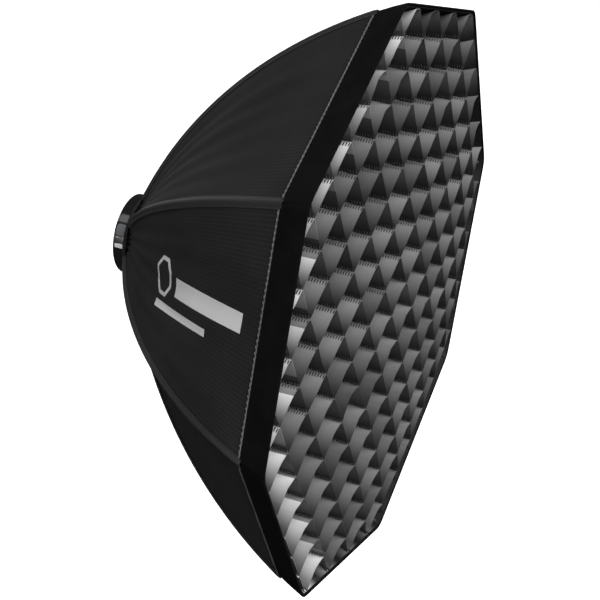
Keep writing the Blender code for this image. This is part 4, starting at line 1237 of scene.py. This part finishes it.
def hang(x, z, back):
    """The grid's slack: it bellies forwards and sinks a little, most in the middle. Near the rim
    its back is narrower than its front, as the rim is."""
    gap = octagon_gap(x, z)
    share = np.clip(1 - (x ** 2 + z ** 2) / BELLY_REACH ** 2, 0, 1) * np.clip(gap / 0.05, 0, 1)
    belly = share * (0.0149 + 0.038 * x - 0.026 * z)
    sink = share * (0.0040 + 0.0044 * z)
    narrowing = 1 - RIM_TAPER * back * np.clip(1 - gap / 0.045, 0, 1) / (grid_apothem - gap + 0.001)
    return np.stack([x * narrowing, -(grid_front - STRIP_DEPTH * back + belly),
                     z * narrowing - sink], axis=-1)


def peak_drop(share):
    """How far a wall is below its peak, at a share of the way down to its valley. The cloth
    bends over towards the seam at the peak."""
    return SEAM_GAP + (CELL_HEIGHT / 2 - 2 * SEAM_GAP) * share * (
        1 - PEAK_BEND * np.exp(-share / BEND_SHARE)) / (1 - PEAK_BEND * exp(-1 / BEND_SHARE))


def strip_path(row):
    """Points along one strip in the grid's plane, from edge to edge: their place, how far the
    slack and the crease push them out, whether their wall rises, and how much painted light
    its colour carries, from painted shade at the valley to painted light at the peak."""
    valley = LATTICE_X + (-5.5 if row % 2 == 0 else -5.0) * CELL_WIDTH
    low = LATTICE_Z + row * CELL_HEIGHT / 2
    walls = []
    for wall in range(-1, 23):
        share = np.arange(STEPS) / STEPS
        rising = wall % 2 == 0
        climb = share if rising else 1 - share
        x = valley + (wall + share) * CELL_WIDTH / 2
        z = low + CELL_HEIGHT / 2 - peak_drop(1 - climb)
        slack = grid_draw.normal(0.0, WALL_SLACK) * np.sin(pi * share)
        loose = np.clip((-low + 0.45 * x.mean() + 0.02) / 0.10, 0, 1)
        if low > TOP_ROWS:
            loose = grid_draw.choice((0.0, 1.0), p=FEW_LOOSE)
        depth_of_crease = max(loose * grid_draw.uniform(*DEEP_CREASE),
                              grid_draw.uniform(*FINE_CREASE))
        top = grid_draw.uniform(*CREASE_TOP)
        tent = np.minimum(climb / top, (1 - climb) / (1 - top))
        crease = depth_of_crease * tent if rising else 0.0 * tent
        way = np.full(STEPS, 1.0 if rising else -1.0)
        # Painted light: the wall's colour runs from painted shade at the valley to painted light at
        # the peak, by a random share per wall.
        rub_wear_and_painted_light = climb * grid_draw.uniform(*PEAK_LIGHT_RANGE)
        walls.append(np.stack([x, z, slack, crease, way, rub_wear_and_painted_light]))
    return np.concatenate(walls, axis=1)


def trimmed(path):
    """A strip's path cut off at the grid's edge, where it lies along the border."""
    path[1] = np.clip(path[1], -grid_apothem + 0.0012, grid_apothem - 0.0012)
    inside = np.flatnonzero(octagon_gap(path[0], path[1]) > 0.0010)
    path = path[:, inside[0] - 1:inside[-1] + 2]
    for end, inner in ((0, 1), (-1, -2)):
        gap_out = octagon_gap(path[0, end], path[1, end])
        gap_in = octagon_gap(path[0, inner], path[1, inner])
        share = np.clip((gap_in - 0.0004) / max(gap_in - gap_out, 1e-6), 0, 1)
        path[:2, end] = path[:2, inner] + share * (path[:2, end] - path[:2, inner])
    return path


back = np.linspace(1, 0, STRIP_ROWS)[:, None]
for strip in range(STRIPS):
    x, z, slack, crease, way, rub_wear_and_painted_light = trimmed(strip_path(strip - STRIPS // 2))
    held = np.clip(octagon_gap(x, z) / 0.012, 0, 1)
    push = (slack * (1 - 0.6 * back) + crease * (1 - 0.2 * back)) * held
    points = hang(x - 0.69 * push, z + 0.72 * push * way, back + 0 * x)
    piece = cloth_sheet(f"grid_strip_{strip + 1}", points, STRIP_CLOTH, crease=radians(17))
    both_faces = np.tile(rub_wear_and_painted_light, 2 * STRIP_ROWS)
    piece.data.attributes.new("rub_wear_and_painted_light", 'FLOAT', 'POINT').data.foreach_set("value", both_faces)
    piece.data.materials.append(grid_nylon)
    piece.data.materials.append(painted_light_nylon)
    # Faces near the left edges take the paler nylon: painted light.
    for face in piece.data.polygons:
        x_face, _, z_face = face.center
        if x_face < PAINTED_LIGHT_SIDE and octagon_gap(x_face, z_face) < PAINTED_LIGHT_MARGIN:
            face.material_index = 1
    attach(piece, "grid")
    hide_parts("grid_lattice")

TOOTH_PITCH = 0.0041
TEETH = 9
TOOTH_LENGTH = 0.0085
TOOTH_RADIUS = 0.0009
TOOTH_START = 0.0006                 # of a tooth, from the middle of its seam
joints = np.array([(LATTICE_X + (column + (0.5 if row % 2 == 0 else 0.0)) * CELL_WIDTH,
                    LATTICE_Z + row * CELL_HEIGHT / 2)
                   for row in range(-10, 11) for column in range(-6, 7)])
joints = joints[octagon_gap(joints[:, 0], joints[:, 1]) > 0.006]
tooth_back = 0.03 + np.arange(TEETH) * TOOTH_PITCH / STRIP_DEPTH
places, leans, outs = [], [], []
near, far = TOOTH_START, TOOTH_START + TOOTH_LENGTH * 0.9
for east in (-1.0, 1.0):
    for up in (-1.0, 1.0):
        ends = []
        for reach in (near, far):
            drop = peak_drop(2 * reach / CELL_WIDTH) if up < 0 else (
                SEAM_GAP + reach * CELL_HEIGHT / CELL_WIDTH)
            ends.append(hang(joints[:, :1] + east * reach + 0 * tooth_back,
                             joints[:, 1:] + up * drop + 0 * tooth_back, tooth_back[None, :]))
        lean = ends[1] - ends[0]
        lean = lean / np.linalg.norm(lean, axis=-1, keepdims=True)
        out = np.stack([np.abs(lean[..., 2]) * east, 0 * lean[..., 1],
                        -np.abs(lean[..., 0]) * up], axis=-1)
        places.append((ends[0] + ends[1]) / 2 + 0.0006 * out)
        leans.append(lean)
        outs.append(out)
teeth = thread_run("grid_seam_stitches", np.stack(places), np.stack(leans), np.stack(outs),
                   TOOTH_LENGTH, TOOTH_RADIUS)
teeth.data.materials.append(sewing_thread("seam_thread", (0.003, 0.003, 0.003), 0.9))
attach(teeth, "grid")

BORDER_ROWS = 8
border_low, border_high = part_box("grid_border")
border_depth = np.linspace(-border_high.y + 0.0006, -border_low.y - 0.0006, BORDER_ROWS)
border_wave = 0.00025 * folds((BORDER_ROWS, SIDES * EDGE_COLUMNS), 79, count=20)
border_gap = skin_apothem(-border_low.y) - border_high.z
border_rise = skin_apothem(border_depth) - border_gap - EDGE_SINK
grid_edge = cloth_sheet("grid_edge_band",
                        eight_sided(border_depth, border_rise, EDGE_COLUMNS, border_wave),
                        EDGE_CLOTH, closed=True)
grid_edge.data.materials.append(hook_tape)
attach(grid_edge, "grid")
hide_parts("grid_border")


# Floor and light: a white floor well below, a broad soft sky light from the front upper left, a
# weak light for the ring and one from each side for the shell. The room shows white behind.
FLOOR_DROP = 1.6
FLOOR_HALF = 900
floor_mesh = bpy.data.meshes.new("studio_floor")
floor_corners = [(x * FLOOR_HALF, y * FLOOR_HALF, -FLOOR_DROP)
                 for x, y in ((-1, -1), (1, -1), (1, 1), (-1, 1))]
floor_mesh.from_pydata(floor_corners, [], [(0, 1, 2, 3)])
floor = bpy.data.objects.new("studio_floor", floor_mesh)
bpy.context.scene.collection.objects.link(floor)
paint = bpy.data.materials.new("pale_floor")
paint.use_nodes = True
floor_shader = paint.node_tree.nodes["Principled BSDF"]
floor_shader.inputs['Base Color'].default_value = (0.92, 0.92, 0.92, 1.0)
floor_shader.inputs['Roughness'].default_value = 0.9
floor_shader.inputs['Emission Color'].default_value = (1.0, 1.0, 1.0, 1.0)
floor_shader.inputs['Emission Strength'].default_value = 0.8
floor.data.materials.append(paint)
floor.visible_diffuse = False
floor.visible_glossy = False

ROOM_LIGHT = 0.035
world = bpy.data.worlds.new("white_room")
world.use_nodes = True
room_nodes, room_links = world.node_tree.nodes, world.node_tree.links
room_nodes["Background"].inputs['Color'].default_value = (1.0, 1.0, 1.0, 1.0)
room_nodes["Background"].inputs['Strength'].default_value = ROOM_LIGHT
backdrop = room_nodes.new('ShaderNodeBackground')
backdrop.label = "white backdrop"
backdrop.location = (-200, -200)
backdrop.inputs['Color'].default_value = (1.0, 1.0, 1.0, 1.0)
seen = room_nodes.new('ShaderNodeLightPath')
seen.label = "seen or lighting"
seen.location = (-200, 300)
room = room_nodes.new('ShaderNodeMixShader')
room.label = "room and backdrop"
room.location = (100, 100)
room_links.new(seen.outputs['Is Camera Ray'], room.inputs[0])
room_links.new(room_nodes["Background"].outputs[0], room.inputs[1])
room_links.new(backdrop.outputs[0], room.inputs[2])
room_links.new(room.outputs[0], room_nodes["World Output"].inputs['Surface'])
bpy.context.scene.world = world


def softbox(name, place, target, width, height, power):
    """A rectangular light aimed at a point."""
    data = bpy.data.lights.new(name, 'AREA')
    data.shape = 'RECTANGLE'
    data.size = width
    data.size_y = height
    data.energy = power
    light = bpy.data.objects.new(name, data)
    light.location = place
    light.rotation_mode = 'QUATERNION'
    light.rotation_quaternion = (Vector(target) - Vector(place)).to_track_quat('-Z', 'Y')
    bpy.context.scene.collection.objects.link(light)


sun_data = bpy.data.lights.new("sky_light", 'SUN')
sun_data.energy = 3.9
sun_data.angle = radians(50)
sun = bpy.data.objects.new("sky_light", sun_data)
sun.rotation_mode = 'QUATERNION'
sun.rotation_quaternion = Vector((0.60, 0.54, -0.59)).to_track_quat('-Z', 'Y')
bpy.context.scene.collection.objects.link(sun)
softbox("ring_light", (-1.4, 0.9, 1.5), (0.0, 0.0, 0.0), 0.5, 0.8, 2.0)
softbox("side_light", (-2.6, 0.6, -0.5), (0.0, 0.0, 0.0), 1.2, 1.2, 13.0)
softbox("right_light", (2.7, 0.35, -0.1), (0.0, 0.0, 0.0), 1.6, 1.6, 30.0)

bpy.context.scene.view_settings.view_transform = 'Standard'
